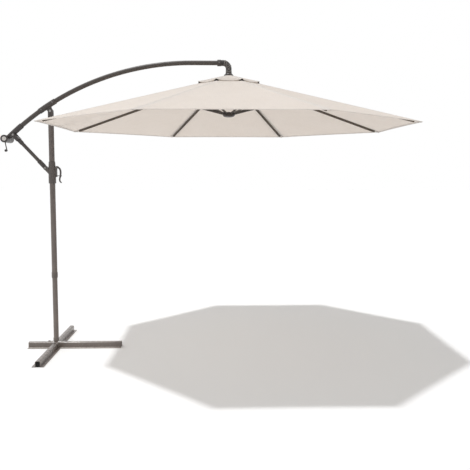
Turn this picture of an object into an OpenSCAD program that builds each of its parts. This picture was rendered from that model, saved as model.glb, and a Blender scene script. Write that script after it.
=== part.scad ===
// Cantilever parasol: cross base, two-piece pole, curved arm with strut and slider,
// crank housing at the arm's foot, and a ribbed octagonal canopy with a raised vent.
// Origin on the pole's axis at the floor, +X from the pole to the canopy, +Z up, millimetres.

/* [Base] */
// Length of the bar that lies front to back
bar_long_len = 1000; // [800:10:1200]
// Reach of the bar under the canopy, from the pole's axis
bar_reach_right = 530; // [450:10:650]
// Reach of the short bar behind the pole
bar_reach_left = 220; // [160:10:400]
// Width of a bar over its flanges
bar_w = 88; // [76:1:110]
// Width of the raised rib along a bar
bar_rib_w = 40; // [34:1:50]
// Height of a bar
bar_h = 46; // [40:1:60]
// Thickness of the bars' sheet
bar_wall = 4; // [2.5:0.5:5]
// Radius of the rib's upper corners
bar_round = 12; // [8:1:15]
// Length of each way of the cap over the crossing
cap_len = 136; // [125:1:180]
// Thickness of the cap
cap_wall = 3; // [2:0.5:5]
// Height of the pole's socket above the cap
socket_h = 30; // [20:1:60]
// Diameter of the base bolts
base_bolt_d = 8; // [6:1:10]

/* [Pole] */
// Diameter of the lower tube
lower_pole_d = 40; // [36:0.5:46]
// Wall of the lower tube
lower_pole_wall = 2; // [1.5:0.5:4]
// Wall of the upper tube, which slips over the lower one
upper_pole_wall = 1.4; // [1.2:0.1:2.5]
// Height of the collar's underside above the floor
collar_z = 573; // [450:1:700]
// Height of the collar
collar_h = 46; // [36:1:70]
// Wall of the collar round the upper tube
collar_wall = 2.6; // [2:0.2:5]
// Length of lower tube inside the upper one
pole_overlap = 150; // [100:5:250]
// Length of the pole head's plug inside the upper tube
head_plug_len = 50; // [30:1:90]
// Height from the pole's top to the arm's pivot
head_h = 60; // [55:1:75]

/* [Arm] */
// Distance from the arm's centreline to its pivot
pivot_drop = 46.7; // [44:0.1:52]
// Diameter of the arm's pivot pin
pivot_pin_d = 12; // [10:0.5:14]
// Diameter of the arm's tube
arm_d = 36; // [32:0.5:40]
// Wall of the arm's tube
arm_wall = 1.6; // [1.2:0.1:4]
// Radius of the arm's bend
arc_r = 2092; // [2070:1:2120]
// Height of the arm's level end above the canopy's peak
arm_above = 104.7; // [100:0.1:115]
// Length of the arm's level end, up to the canopy's axis
arm_level = 289; // [250:1:320]
// Length of the arm behind its pivot, along the bend
arm_tail = 319; // [290:1:350]
// Length of the saddle over the pivot
saddle_len = 150; // [110:1:200]
// Wall of the sleeves on the arm
sleeve_wall = 4; // [3:0.5:6]
// Thickness of the saddle's lug
lug_t = 24; // [18:1:30]
// Thickness of an ear beside a lug
ear_t = 6; // [5:0.5:8]

/* [Elbow] */
// Wall of the elbow
elbow_wall = 5; // [4:0.5:7]
// Radius of the elbow's bend
bend_r = 45; // [40:1:60]
// Length of arm inside the elbow
elbow_grip = 30; // [24:1:50]
// Radius of the pulley in the bend
pulley_r = 13; // [10:0.5:14]

/* [Canopy] */
// Radius of the canopy over its corners
canopy_r = 1480; // [1400:5:1560]
// Distance from the pole's axis to the canopy's near edge
edge_clear = 41; // [38:0.5:70]
// Height of the canopy's corners
corner_z = 1781; // [1770:1:1800]
// Slope of the ribs
slope = 15.1; // [14.5:0.1:16]
// Thickness of the cloth
cloth_t = 0.8; // [0.6:0.1:1.5]
// Depth of the cloth's sag between ribs
cloth_sag = 9; // [2:0.5:14]
// Depth of the curve along each hem
hem_curve = 6; // [2:0.5:12]
// Radius of the vent's opening
vent_open_r = 170; // [140:5:200]
// Radius of the vent's cover
vent_r = 240; // [215:5:280]
// Height of the vent's cover above the canopy
vent_lift = 14; // [10:0.5:18]

/* [Ribs] */
// Width of a rib
rib_w = 12; // [12:0.5:16]
// Height of a rib
rib_h = 16; // [15:0.5:22]
// Wall of a rib
rib_wall = 0.9; // [0.8:0.1:1.5]
// Thickness of the blade at a rib's inner end
blade_t = 10; // [8:0.5:11]
// Length of the flat tip at a rib's outer end
rib_tip_len = 50; // [30:1:80]
// Thickness of that tip
rib_tip_t = 4; // [3:0.5:6]
// Length of each link, from pivot to pivot
link_len = 530; // [480:5:560]
// Thickness of a stretcher
stretcher_t = 9; // [7:0.5:10]
// Height of a stretcher
stretcher_h = 13; // [11:0.5:14]
// Wall of a stretcher
stretcher_wall = 1.2; // [0.8:0.1:1.5]
// Diameter of the rib and stretcher pins
link_pin_d = 5; // [4:0.5:6]
// Radius of the ring of pivots on the crown and the runner
pivot_ring_r = 36; // [34:0.5:42]
// Radius of the crown and the runner
hub_r = 48; // [46:0.5:56]

/* [Strut and slider] */
// Diameter of the strut's tube
strut_d = 28; // [24:0.5:30]
// Wall of the strut's tube
strut_wall = 2; // [1.5:0.5:3]
// Distance from the arm's end to the strut's pivot
strut_ahead = 32; // [28:1:38]
// Drop of the strut's pivot below the arm's centreline
strut_drop = 14; // [13:0.5:15]
// Diameter of the strut's pivot pins
strut_pin_d = 10; // [8:0.5:10.5]
// Distance from the arm's pivot down to the slider's underside
slider_drop = 570; // [545:1:605]
// Height of the slider's straight part
slider_h = 133; // [120:1:160]
// Height of the slider's tapered neck
slider_neck_h = 40; // [25:1:60]
// Wall of the slider
slider_wall = 5.5; // [4.5:0.5:7]
// Wall of the slider's bush
bush_wall = 1.9; // [1.5:0.1:2.5]
// Distance from the slider's wall to the strut's lower pivot
strut_foot_off = 21; // [20:0.5:28]
// Height of that pivot above the slider's underside
slider_pivot_h = 122; // [110:1:125]

/* [Handle] */
// Height of the lever's pin above the slider's underside
lever_pin_h = 128; // [124:1:132]
// Diameter of the lever's pin
lever_pin_d = 6; // [5:0.5:7]
// Width of the lever
lever_w = 12; // [10:0.5:14]
// Thickness of the lever at its top
lever_t = 13; // [11:0.5:15]
// Height of the lock pin above the slider's underside
lock_h = 60; // [55:1:66]
// Diameter of the lock pin
lock_d = 7; // [5:0.5:8]

/* [Crank] */
// Distance from the arm's end to the drum's axis
drum_ahead = 94; // [90:1:104]
// Diameter of the drum
drum_d = 60; // [56:1:64]
// Wall of the drum
drum_wall = 4; // [3:0.5:6]
// Length of the drum in front of the arm's plane
drum_front = 58; // [50:1:70]
// Length of the drum behind the arm's plane
drum_back = 70; // [60:1:80]
// Diameter of the pale disc on the crank
crank_disc_d = 33; // [30:1:44]
// Length of the crank's rod, from axis to knob
crank_len = 95; // [80:1:120]
// Diameter of the crank's rod
crank_rod_d = 8; // [6:0.5:10]
// Lean of the crank's rod from straight down
crank_lean = 11; // [0:1:30]
// Diameter of the crank's knob
knob_d = 20; // [16:1:26]
// Length of the crank's knob
knob_len = 26; // [20:1:40]

/* [Hidden] */

$fn = 64;
// Segments of a full turn of the arm's bend
arc_fn = 1440;

// Colours of the finishes
frame_colour = [0.29, 0.27, 0.26];
pole_colour = [0.38, 0.35, 0.34];
base_colour = [0.42, 0.38, 0.36];
fitting_colour = [0.2, 0.19, 0.19];
steel_colour = [0.66, 0.66, 0.68];
cloth_colour = [0.9, 0.86, 0.82];

// Clearances
fit = 0.05;
slip = 0.1;
gap = 0.3;
ear_gap = 0.3;
// Play of the strut's lower eye round its pin
open_pivot_play = 3.8;
// Overlap used where one solid runs into another
bite = 1;

ribs = 8;
half = 180 / ribs;
function azimuth(i) = half + (i - 1) * 2 * half;

// Places of the canopy and the arm
canopy_x = canopy_r * cos(half) + edge_clear;
apex_z = corner_z + canopy_r * tan(slope);
arm_top_z = apex_z + arm_above;
arc_x = canopy_x - arm_level;
arc_z = arm_top_z - arc_r;
pivot_z = arc_z + sqrt(pow(arc_r - pivot_drop, 2) - pow(arc_x, 2));
slider_z = pivot_z - slider_drop;

// Base
rib_in_w = bar_rib_w + 2 * gap;
cap_w = rib_in_w + 2 * cap_wall;
cap_in_h = bar_h + gap;
cap_top = cap_in_h + cap_wall;
socket_top = cap_top + socket_h;
base_bolt_inset = 12;
base_bolt_at = cap_len / 2 - base_bolt_inset;
base_bolt_tip = bar_h - bar_wall - base_bolt_d;

// Pole
lower_pole_r = lower_pole_d / 2;
upper_pole_in = lower_pole_r + slip;
upper_pole_r = upper_pole_in + upper_pole_wall;
collar_r = upper_pole_r + collar_wall;
upper_pole_z = collar_z + collar_h / 2;
ear_r = 18;
ear_root = 7;
head_neck_top = pivot_z - ear_r - ear_root;
pole_top = pivot_z - head_h;
head_flange_h = 8;
head_flange_out = 1.5;

// Arm: angles are measured from the top of the bend, towards the foot
arm_r = arm_d / 2;
function arc_pt(a, off = 0) = [arc_x - (arc_r + off) * sin(a), 0, arc_z + (arc_r + off) * cos(a)];
function arc_deg(mm) = mm / arc_r * 180 / PI;
function ahead(mm) = arm_sweep + arc_deg(mm);
sleeve_r = arm_r + fit + sleeve_wall;
saddle_deg = atan2(arc_x, pivot_z - arc_z);
saddle_half = arc_deg(saddle_len / 2);
arm_sweep = saddle_deg + arc_deg(arm_tail);
saddle_at = arc_pt(saddle_deg);
saddle_dir = [cos(saddle_deg), 0, sin(saddle_deg)];
lug_r = 16;
lug_flare = 27;
screw_d = 5;
screw_head_d = 8;
screw_head_h = 3;
// Width and height of the rim on a pin's head
pin_rim = 3;

// Elbow
elbow_in = arm_r + slip;
elbow_r = elbow_in + elbow_wall;
bend_x = canopy_x - bend_r;
bend_z = arm_top_z - bend_r;
elbow_stop = 8;
arm_end_x = bend_x - elbow_stop;
elbow_x = arm_end_x - elbow_grip;
elbow_collar_w = 30;
elbow_collar_wall = 2.4;
elbow_collar_r = elbow_r + fit + elbow_collar_wall;
elbow_screw_x = elbow_x + elbow_collar_w / 4;
pulley_t = 8;
pulley_groove = 3;
pulley_axle_d = 6;
pulley_x = bend_x + bend_r * cos(45);
pulley_z = bend_z + bend_r * sin(45);

// Canopy
vent_in_gap = 4;
vent_in_r = elbow_r + vent_in_gap;
// Fall of the cloth from a rib's middle to its edge: the gore's slope and the start of its sag
rib_edge_fall = rib_w / 2 * (tan(half) * tan(slope) + 6 * cloth_sag / (canopy_r * tan(half)));
rib_under_cloth = rib_edge_fall + cloth_t + gap;
crown_z = apex_z - pivot_ring_r * tan(slope) - rib_under_cloth - rib_h / 2 / cos(slope);
crown_half = 14;
crown_top = crown_z + crown_half;
crown_core = pivot_ring_r - 11;
crown_boss_h = 26;
runner_z = crown_z - 2 * link_len * sin(slope);
runner_floor = 12;
blade_r = 8;
blade_len = 30;
plug_len = 14;
rib_tip_short = 10;
rib_tip_w = rib_w - 3;
rib_reach = (canopy_r - pivot_ring_r - rib_tip_short) / cos(slope);
rib_len = rib_reach - rib_tip_len;
link_pin_r = link_pin_d / 2;
// Length of solid bar at each end of a stretcher
stretcher_end = 24;
hub_pin_bite = 5;
crown_pin_len = blade_t + 2 * hub_pin_bite;
runner_pin_len = stretcher_t + 2 * hub_pin_bite;
skirt_z = apex_z + vent_lift - vent_in_r * tan(slope) + 2;
skirt_r = elbow_r + 14;
skirt_h = 17;
tab_len = 22;
tab_w = 12;

// Strut and slider
strut_r = strut_d / 2;
strut_top = arc_pt(ahead(strut_ahead), -strut_drop);
fork_gap = 1.2;
fork_in = sleeve_r + fork_gap;
fork_out = fork_in + ear_t;
fork_r = 15;
fork_crotch = 30;
fork_len = 90;
fork_wall = 3;
fork_bridge = 26;
tube_top = fork_crotch + 22;
tube_foot = 45;
socket_len = 76;
socket_wall = 3.5;
socket_r = strut_r + fit + socket_wall;
eye_r = 16;
eye_t = 30;
bush_in = upper_pole_r + slip;
bush_r = bush_in + bush_wall;
slider_in = bush_r + fit;
slider_r = slider_in + slider_wall;
slider_top = slider_z + slider_h;
neck_top = slider_top + slider_neck_h;
neck_r = slider_in + 1.4;
strut_foot = [-slider_r - strut_foot_off, 0, slider_z + slider_pivot_h];
strut_len = norm(strut_foot - strut_top);
strut_deg = atan2(strut_top[2] - strut_foot[2], strut_foot[0] - strut_top[0]);
slider_ear_in = eye_t / 2 + ear_gap;
slider_ear_r = 13;
slider_ear_w = 2 * slider_ear_r - 1;
// Length of an ear along the strut's line, into the slider
slider_ear_len = -strut_foot[0] + 5;

// Handle
bracket_out = 9;
bracket_x = slider_r + bracket_out;
bracket_w = 22;
bracket_eye_r = 10;
lever_pin = [bracket_x + 2, 0, slider_z + lever_pin_h];
lock_z = slider_z + lock_h;
lever_clear = lever_w + 2 * ear_gap;

// Crank
drum = arc_pt(ahead(drum_ahead));
drum_r = drum_d / 2;
drum_in = drum_r - drum_wall;
cord_hole_r = 6;
reel_core_r = 16;
reel_flange_t = 5;
reel_end_gap = 2;
reel_axle_r = 5;
reel_front = -drum_front + bite;
reel_back = drum_back - drum_wall - reel_end_gap;
rim_t = 13.5;
rim_gap = 0.4;
rim_y = -drum_front - rim_gap;
rim_front = rim_y - rim_t;
disc_seat = 4;
disc_proud = 1.5;
rod_y = rim_y - rim_t / 2;
rod_bite = 10;
rod_in = drum_r - rod_bite;
knob_pin_d = 6;

// Extrudes a shape drawn in the arm's plane, with x along X and y up
module plate(t, y = 0) translate([0, y, 0]) rotate([90, 0, 0]) linear_extrude(t, center = true) children();

// Cylinder along Y through a point of the arm's plane
module bar_y(p, r, len, y = 0)
  translate([p[0], y, p[2]]) rotate([90, 0, 0]) cylinder(r = r, h = len, center = true);

// Cylinder along Y between two values of y
module span_y(p, r, y0, y1) bar_y(p, r, abs(y1 - y0), (y0 + y1) / 2);

// Sweeps a shape along the arm's bend, from angle a0 to a1
module along_arm(a0, a1)
  translate([arc_x, 0, arc_z]) rotate([90, 0, 0]) rotate([0, 0, 90 + a0])
    rotate_extrude(angle = a1 - a0, $fn = arc_fn) translate([arc_r, 0]) children();

// Places a shape drawn round the Z axis on the canopy's axis
module on_canopy_axis() translate([canopy_x, 0, 0]) children();

// Turns a shape drawn along X to rib i
module to_rib(i) on_canopy_axis() rotate([0, 0, azimuth(i)]) children();

// Frame of rib i: origin at its pivot, X along the rib
module rib_frame(i)
  to_rib(i) translate([pivot_ring_r, 0, crown_z]) rotate([0, slope, 0]) children();

// Frame of stretcher i: origin at the runner's pivot, X out along the stretcher
module stretcher_frame(i)
  to_rib(i) translate([pivot_ring_r, 0, runner_z]) rotate([0, -slope, 0]) children();

// Frame of the strut: origin at its upper pivot, X down along the strut
module strut_frame() translate(strut_top) rotate([0, strut_deg, 0]) children();

// Frame of the crank: origin on its axis, X along the rod
module crank_frame() translate(drum) rotate([0, 90 - crank_lean, 0]) children();

module tube(r_out, r_in, z0, z1)
  translate([0, 0, z0]) difference() {
    cylinder(r = r_out, h = z1 - z0);
    translate([0, 0, -bite]) cylinder(r = r_in, h = z1 - z0 + 2 * bite);
  }

// Outline of a raised rib with rounded upper corners, from y0 up to h
module rib_outline(w, h, r, y0 = 0) {
  translate([-w / 2, y0]) square([w, h - r - y0]);
  translate([-w / 2 + r, y0]) square([w - 2 * r, h - y0]);
  for (side = [-1, 1]) translate([side * (w / 2 - r), h - r]) circle(r);
}

module hat_outline()
  difference() {
    union() {
      translate([-bar_w / 2, 0]) square([bar_w, bar_wall]);
      rib_outline(bar_rib_w, bar_h, bar_round);
    }
    rib_outline(bar_rib_w - 2 * bar_wall, bar_h - bar_wall, bar_round - bar_wall, -bite);
  }

module along_y(len) rotate([90, 0, 0]) linear_extrude(len, center = true) children();

module along_x(x0, x1) translate([x0, 0, 0]) rotate([90, 0, 90]) linear_extrude(x1 - x0) children();

module base_bolt_places()
  for (a = [0:90:270]) rotate([0, 0, a]) translate([base_bolt_at, 0, 0]) children();

module base_bolt_holes()
  base_bolt_places() translate([0, 0, bar_h / 2]) cylinder(d = base_bolt_d + 2 * slip, h = bar_h);

module cross_bar_long()
  color(base_colour) difference() {
    union() {
      along_y(bar_long_len) hat_outline();
      translate([-bar_rib_w / 2, -cap_len / 2, 0]) cube([bar_rib_w, cap_len, bar_wall]);
    }
    base_bolt_holes();
  }

module cross_bar_right()
  color(base_colour) difference() {
    along_x(bar_w / 2, bar_reach_right) hat_outline();
    base_bolt_holes();
  }

module cross_bar_left()
  color(base_colour) difference() {
    along_x(-bar_reach_left, -bar_w / 2) hat_outline();
    base_bolt_holes();
  }

module cap_way() rib_outline(cap_w, cap_top, bar_round + gap + cap_wall, bar_wall);

module cap_way_inside() rib_outline(rib_in_w, cap_in_h, bar_round + gap, -bite);

module base_cap()
  color(base_colour) difference() {
    union() {
      along_x(-cap_len / 2, cap_len / 2) cap_way();
      along_y(cap_len) cap_way();
      translate([0, 0, cap_in_h]) cylinder(r = lower_pole_r + slip + cap_wall, h = socket_top - cap_in_h);
    }
    along_x(-cap_len / 2 - bite, cap_len / 2 + bite) cap_way_inside();
    along_y(cap_len + 2 * bite) cap_way_inside();
    translate([0, 0, cap_top]) cylinder(r = lower_pole_r + slip, h = socket_h + bite);
    base_bolt_holes();
  }

module base_bolts()
  color(steel_colour) base_bolt_places() {
    translate([0, 0, base_bolt_tip]) cylinder(d = base_bolt_d, h = cap_top - base_bolt_tip + bite);
    translate([0, 0, cap_top]) cylinder(d = base_bolt_d * 1.9, h = base_bolt_d * 0.65, $fn = 6);
  }

module lower_pole()
  color(pole_colour)
    tube(lower_pole_r, lower_pole_r - lower_pole_wall, cap_top, upper_pole_z + pole_overlap);

module pole_collar()
  color(fitting_colour) difference() {
    translate([0, 0, collar_z]) rotate_extrude() polygon([
      [0, 0], [collar_r - 2, 0], [collar_r, 3], [collar_r, collar_h - 6],
      [upper_pole_r + 1, collar_h], [0, collar_h]
    ]);
    translate([0, 0, collar_z - bite]) cylinder(r = upper_pole_in, h = collar_h);
    translate([0, 0, upper_pole_z]) cylinder(r = upper_pole_r + fit, h = collar_h);
  }

module upper_pole() color(pole_colour) tube(upper_pole_r, upper_pole_in, upper_pole_z, pole_top);

module pole_head()
  color(fitting_colour) difference() {
    union() {
      translate([0, 0, pole_top - head_plug_len]) cylinder(r = lower_pole_r, h = head_plug_len + bite);
      translate([0, 0, pole_top]) cylinder(r = upper_pole_r + head_flange_out, h = head_flange_h);
      translate([0, 0, pole_top]) cylinder(r = ear_r + 0.5, h = head_neck_top - pole_top);
      for (side = [-1, 1]) plate(ear_t, side * (lug_t / 2 + ear_gap + ear_t / 2)) {
        translate([0, pivot_z]) circle(ear_r);
        translate([-ear_r, pole_top]) square([2 * ear_r, pivot_z - pole_top]);
      }
    }
    bar_y([0, 0, pivot_z], pivot_pin_d / 2 + fit, 3 * lug_t);
  }

module arm_pivot_pin() {
  ear_face = lug_t / 2 + ear_gap + ear_t;
  color(steel_colour) {
    bar_y([0, 0, pivot_z], pivot_pin_d / 2, 2 * ear_face);
    for (side = [-1, 1])
      span_y([0, 0, pivot_z], pivot_pin_d / 2 + pin_rim, side * ear_face, side * (ear_face + pin_rim));
  }
}

// The arm's section, a thin ring
module arm_section()
  difference() {
    circle(arm_r);
    circle(arm_r - arm_wall);
  }

module arm_tube()
  color(frame_colour) {
    along_arm(0, arm_sweep) arm_section();
    translate([arc_x, 0, arc_z]) translate([0, 0, arc_r]) rotate([0, 90, 0])
      linear_extrude(arm_end_x - arc_x) arm_section();
  }

// Points on the saddle where its screws sit, on both sides of the pivot
function saddle_screw_at(side) = arc_pt(saddle_deg + side * saddle_half * 0.7);

module arm_saddle() {
  foot = [0, 0, pivot_z];
  lug = [
    foot + lug_r * saddle_dir, foot - lug_r * saddle_dir,
    saddle_at - lug_flare * saddle_dir, saddle_at + lug_flare * saddle_dir
  ];
  color(fitting_colour) difference() {
    union() {
      along_arm(saddle_deg - saddle_half, saddle_deg + saddle_half) circle(sleeve_r);
      plate(lug_t) {
        translate([0, pivot_z]) circle(lug_r);
        polygon([for (p = lug) [p[0], p[2]]]);
      }
    }
    along_arm(saddle_deg - saddle_half - 1, saddle_deg + saddle_half + 1) circle(arm_r + fit);
    bar_y(foot, pivot_pin_d / 2 + fit, 2 * lug_t);
    for (side = [-1, 1]) bar_y(saddle_screw_at(side), screw_d / 2 + fit, 4 * sleeve_r);
  }
}

// A screw along Y whose head sits at y, with its shank towards the arm's plane
module side_screw(p, y, shank) {
  side = sign(y);
  span_y(p, screw_d / 2, y - side * shank, y + side * bite);
  span_y(p, screw_head_d / 2, y, y + side * screw_head_h);
}

module drum_screw_places()
  for (a = [45:90:315])
    translate([drum[0], 0, drum[2]]) rotate([0, a, 0]) translate([drum_r - screw_head_d, 0, 0]) children();

module arm_screws()
  color(steel_colour) {
    for (end = [-1, 1], side = [-1, 1])
      side_screw(saddle_screw_at(end), side * (sleeve_r + fit), sleeve_wall);
    for (side = [-1, 1])
      side_screw([elbow_screw_x, 0, arm_top_z], side * (elbow_collar_r + fit), elbow_wall + 2);
    drum_screw_places() side_screw([0, 0, 0], drum_back, drum_wall - bite);
  }

module elbow_path(r, over)
  union() {
    translate([elbow_x - over, 0, arm_top_z]) rotate([0, 90, 0])
      cylinder(r = r, h = bend_x - elbow_x + over);
    translate([bend_x, 0, bend_z]) rotate([90, 0, 0])
      rotate_extrude(angle = 90, $fn = 128) translate([bend_r, 0]) circle(r);
    translate([canopy_x, 0, bend_z]) mirror([0, 0, 1]) cylinder(r = r, h = bend_z - crown_top + over);
  }

module elbow()
  color(fitting_colour) difference() {
    elbow_path(elbow_r, 0);
    elbow_path(elbow_in, bite);
    bar_y([pulley_x, 0, pulley_z], pulley_axle_d / 2 + fit, 4 * elbow_r);
    bar_y([elbow_screw_x, 0, arm_top_z], screw_d / 2 + fit, 4 * elbow_r);
  }

module elbow_collar()
  color(fitting_colour) difference() {
    translate([elbow_x - elbow_collar_w / 4, 0, arm_top_z]) rotate([0, 90, 0]) rotate_extrude() polygon([
      [arm_r + fit, 0], [elbow_collar_r - 2, 0], [elbow_collar_r, 2],
      [elbow_collar_r, elbow_collar_w - 2], [elbow_collar_r - 1, elbow_collar_w],
      [elbow_r + fit, elbow_collar_w], [elbow_r + fit, elbow_collar_w / 4],
      [arm_r + fit, elbow_collar_w / 4]
    ]);
    bar_y([elbow_screw_x, 0, arm_top_z], screw_d / 2 + fit, 4 * elbow_r);
  }

module canopy_skirt()
  color(fitting_colour) on_canopy_axis() translate([0, 0, skirt_z]) rotate_extrude() polygon([
    [elbow_r + fit, 4], [skirt_r - 3, 0], [skirt_r, 0], [skirt_r, 2],
    [elbow_r + 7, 8], [elbow_r + 3, 13], [elbow_r + 2, skirt_h], [elbow_r + fit, skirt_h]
  ]);

// Radial slots for the ends of the ribs or stretchers, open outwards, from z0 to z1
module hub_slots(w, z0, z1)
  for (i = [1:ribs]) to_rib(i) translate([crown_core, -w / 2, z0]) cube([hub_r, w, z1 - z0]);

module hub_pins(z, r, len)
  for (i = [1:ribs]) to_rib(i) bar_y([pivot_ring_r, 0, z], r, len);

module crown()
  color(fitting_colour) difference() {
    on_canopy_axis() rotate_extrude() polygon([
      [0, crown_z - crown_half], [hub_r - 6, crown_z - crown_half], [hub_r, crown_z - crown_half + 6],
      [hub_r, crown_top - 3], [hub_r - 3, crown_top], [elbow_in - fit, crown_top],
      [elbow_in - fit, crown_top + crown_boss_h], [0, crown_top + crown_boss_h]
    ]);
    on_canopy_axis() translate([0, 0, crown_z - crown_half - bite]) cylinder(r = cord_hole_r, h = 80);
    hub_slots(blade_t + 2 * gap, crown_z - crown_half - bite, crown_top + bite);
    hub_pins(crown_z, link_pin_r + fit, crown_pin_len + 2 * fit);
  }

module crown_pins() color(steel_colour) hub_pins(crown_z, link_pin_r, crown_pin_len);

module runner()
  color(fitting_colour) difference() {
    on_canopy_axis() translate([0, 0, runner_z]) rotate_extrude() polygon([
      [0, -crown_half - 9], [crown_core, -crown_half - 9], [hub_r - 8, -crown_half - 5],
      [hub_r, -crown_half + 5], [hub_r, crown_half - 4], [hub_r - 4, crown_half], [0, crown_half]
    ]);
    on_canopy_axis() translate([0, 0, runner_z - crown_half]) cylinder(r = cord_hole_r, h = 80);
    hub_slots(stretcher_t + 2 * gap, runner_z - runner_floor, runner_z + 2 * crown_half);
    hub_pins(runner_z, link_pin_r + fit, runner_pin_len + 2 * fit);
  }

module runner_pins() color(steel_colour) hub_pins(runner_z, link_pin_r, runner_pin_len);

module hoist_pulley() {
  at = [pulley_x, 0, pulley_z];
  color(fitting_colour) {
    translate(at) rotate([90, 0, 0]) rotate_extrude() polygon([
      [0, -pulley_t / 2], [pulley_r, -pulley_t / 2], [pulley_r - pulley_groove, -1],
      [pulley_r - pulley_groove, 1], [pulley_r, pulley_t / 2], [0, pulley_t / 2]
    ]);
    bar_y(at, pulley_axle_d / 2, 2 * elbow_r + 3);
  }
}

module crank_housing()
  color(fitting_colour) difference() {
    union() {
      along_arm(ahead(-2 * strut_ahead), ahead(drum_ahead)) circle(sleeve_r);
      span_y(drum, drum_r, -drum_front, drum_back);
    }
    along_arm(ahead(-2 * strut_ahead - 10), arm_sweep) circle(arm_r + fit);
    along_arm(arm_sweep - 0.1, ahead(drum_ahead)) circle(cord_hole_r);
    span_y(drum, drum_in, -drum_front - bite, drum_back - drum_wall);
    bar_y(drum, reel_axle_r + fit, 4 * drum_back);
    bar_y(strut_top, strut_pin_d / 2 + fit, 4 * sleeve_r);
    drum_screw_places()
      span_y([0, 0, 0], screw_d / 2 + fit, drum_back - drum_wall - bite, drum_back + bite);
  }

module strut_pin() {
  pin_seat = fork_out + gap;
  color(steel_colour) {
    bar_y(strut_top, strut_pin_d / 2, 2 * pin_seat);
    for (side = [-1, 1])
      span_y(strut_top, strut_pin_d / 2 + pin_rim, side * pin_seat, side * (pin_seat + pin_rim));
  }
}

module reel()
  color(fitting_colour) {
    span_y(drum, reel_core_r, reel_front, reel_back);
    span_y(drum, drum_in - slip, reel_front, reel_front + reel_flange_t);
    span_y(drum, drum_in - slip, reel_back - reel_flange_t, reel_back);
    span_y(drum, reel_axle_r, rim_y, drum_back + 1);
  }

module crank_rim()
  color(fitting_colour) difference() {
    span_y(drum, drum_r, rim_y, rim_front);
    span_y(drum, crank_disc_d / 2 + slip, rim_front - bite, rim_front + disc_seat);
    translate([0, rod_y, 0]) crank_frame() translate([rod_in, 0, 0]) rotate([0, 90, 0])
      cylinder(d = crank_rod_d + 2 * fit, h = drum_r);
  }

module crank_disc()
  color(steel_colour) {
    span_y(drum, crank_disc_d / 2, rim_front + disc_seat, rim_front - disc_proud);
    span_y(drum, reel_axle_r, rim_front - disc_proud + bite, rim_front - disc_proud - 2);
  }

module crank_arm() {
  color(frame_colour) translate([0, rod_y, 0]) crank_frame() {
    translate([rod_in, 0, 0]) rotate([0, 90, 0]) cylinder(d = crank_rod_d, h = crank_len - rod_in);
    translate([crank_len, 0, 0]) sphere(d = crank_rod_d + 4);
    translate([crank_len, -knob_len / 2 - 4, 0]) rotate([90, 0, 0])
      cylinder(d = knob_pin_d, h = knob_len + 8, center = true);
  }
}

module crank_knob() {
  seat = rod_y - crank_rod_d / 2 - 2 - gap;
  color(fitting_colour) translate([0, seat, 0]) crank_frame() translate([crank_len, 0, 0])
    rotate([90, 0, 0]) rotate_extrude() polygon([
      [knob_pin_d / 2 + fit, 0], [knob_d * 0.33, 0], [knob_d / 2, knob_len * 0.6],
      [knob_d / 2, knob_len - 4], [knob_d / 2 - 3, knob_len], [knob_pin_d / 2 + fit, knob_len]
    ]);
}

module strut_tube()
  color(frame_colour) strut_frame() rotate([0, 90, 0])
    tube(strut_r, strut_r - strut_wall, tube_top, strut_len - tube_foot);

module strut_fork()
  color(fitting_colour) strut_frame() difference() {
    union() {
      for (side = [-1, 1]) plate(ear_t, side * (fork_in + ear_t / 2)) {
        circle(fork_r);
        translate([0, -fork_r]) square([fork_crotch + fork_bridge, 2 * fork_r]);
      }
      translate([fork_crotch, -fork_in - bite, -fork_r])
        cube([fork_bridge, 2 * (fork_in + bite), 2 * fork_r]);
      translate([fork_crotch, 0, 0]) rotate([0, 90, 0])
        cylinder(r = strut_r + fit + fork_wall, h = fork_len - fork_crotch);
    }
    translate([tube_top, 0, 0]) rotate([0, 90, 0]) cylinder(r = strut_r + fit, h = fork_len);
    bar_y([0, 0, 0], strut_pin_d / 2 + fit, 4 * fork_out);
  }

module strut_socket()
  color(fitting_colour) strut_frame() translate([strut_len, 0, 0]) difference() {
    union() {
      bar_y([0, 0, 0], eye_r, eye_t);
      translate([-socket_len, 0, 0]) rotate([0, 90, 0]) cylinder(r = socket_r, h = socket_len - eye_r - 2);
      translate([-tube_foot, -eye_t / 2, -eye_r + 2]) cube([tube_foot, eye_t, 2 * eye_r - 4]);
    }
    translate([-socket_len - bite, 0, 0]) rotate([0, 90, 0])
      cylinder(r = strut_r + fit, h = socket_len + bite - tube_foot);
    bar_y([0, 0, 0], strut_pin_d / 2 + open_pivot_play, 2 * eye_t);
  }

module slider_body()
  color(fitting_colour) difference() {
    union() {
      rotate_extrude() polygon([
        [0, slider_z], [slider_r, slider_z], [slider_r - 0.8, slider_top - 4], [slider_r - 2, slider_top],
        [neck_r, neck_top], [0, neck_top]
      ]);
      for (side = [-1, 1]) plate(ear_t, side * (slider_ear_in + ear_t / 2)) {
        translate([strut_foot[0], strut_foot[2]]) circle(slider_ear_r);
        translate([strut_foot[0], strut_foot[2]]) rotate(-strut_deg)
          translate([0, -slider_ear_w / 2]) square([slider_ear_len, slider_ear_w]);
      }
      translate([0, -bracket_w / 2, lock_z - bracket_eye_r])
        cube([bracket_x, bracket_w, lever_pin[2] + bracket_eye_r - lock_z]);
      plate(bracket_w) translate([lever_pin[0], lever_pin[2]]) circle(bracket_eye_r);
    }
    translate([0, 0, slider_z - bite]) cylinder(r = slider_in, h = neck_top - slider_z + 2 * bite);
    translate([slider_r + 1, -lever_clear / 2, lever_pin[2] - 24]) cube([bracket_w, lever_clear, 48]);
    bar_y(strut_foot, strut_pin_d / 2 + fit, 4 * eye_t);
    bar_y(lever_pin, lever_pin_d / 2 + fit, 2 * bracket_w);
    translate([0, 0, lock_z]) rotate([0, 90, 0]) cylinder(d = lock_d + 2 * slip, h = 2 * bracket_x);
  }

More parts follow.
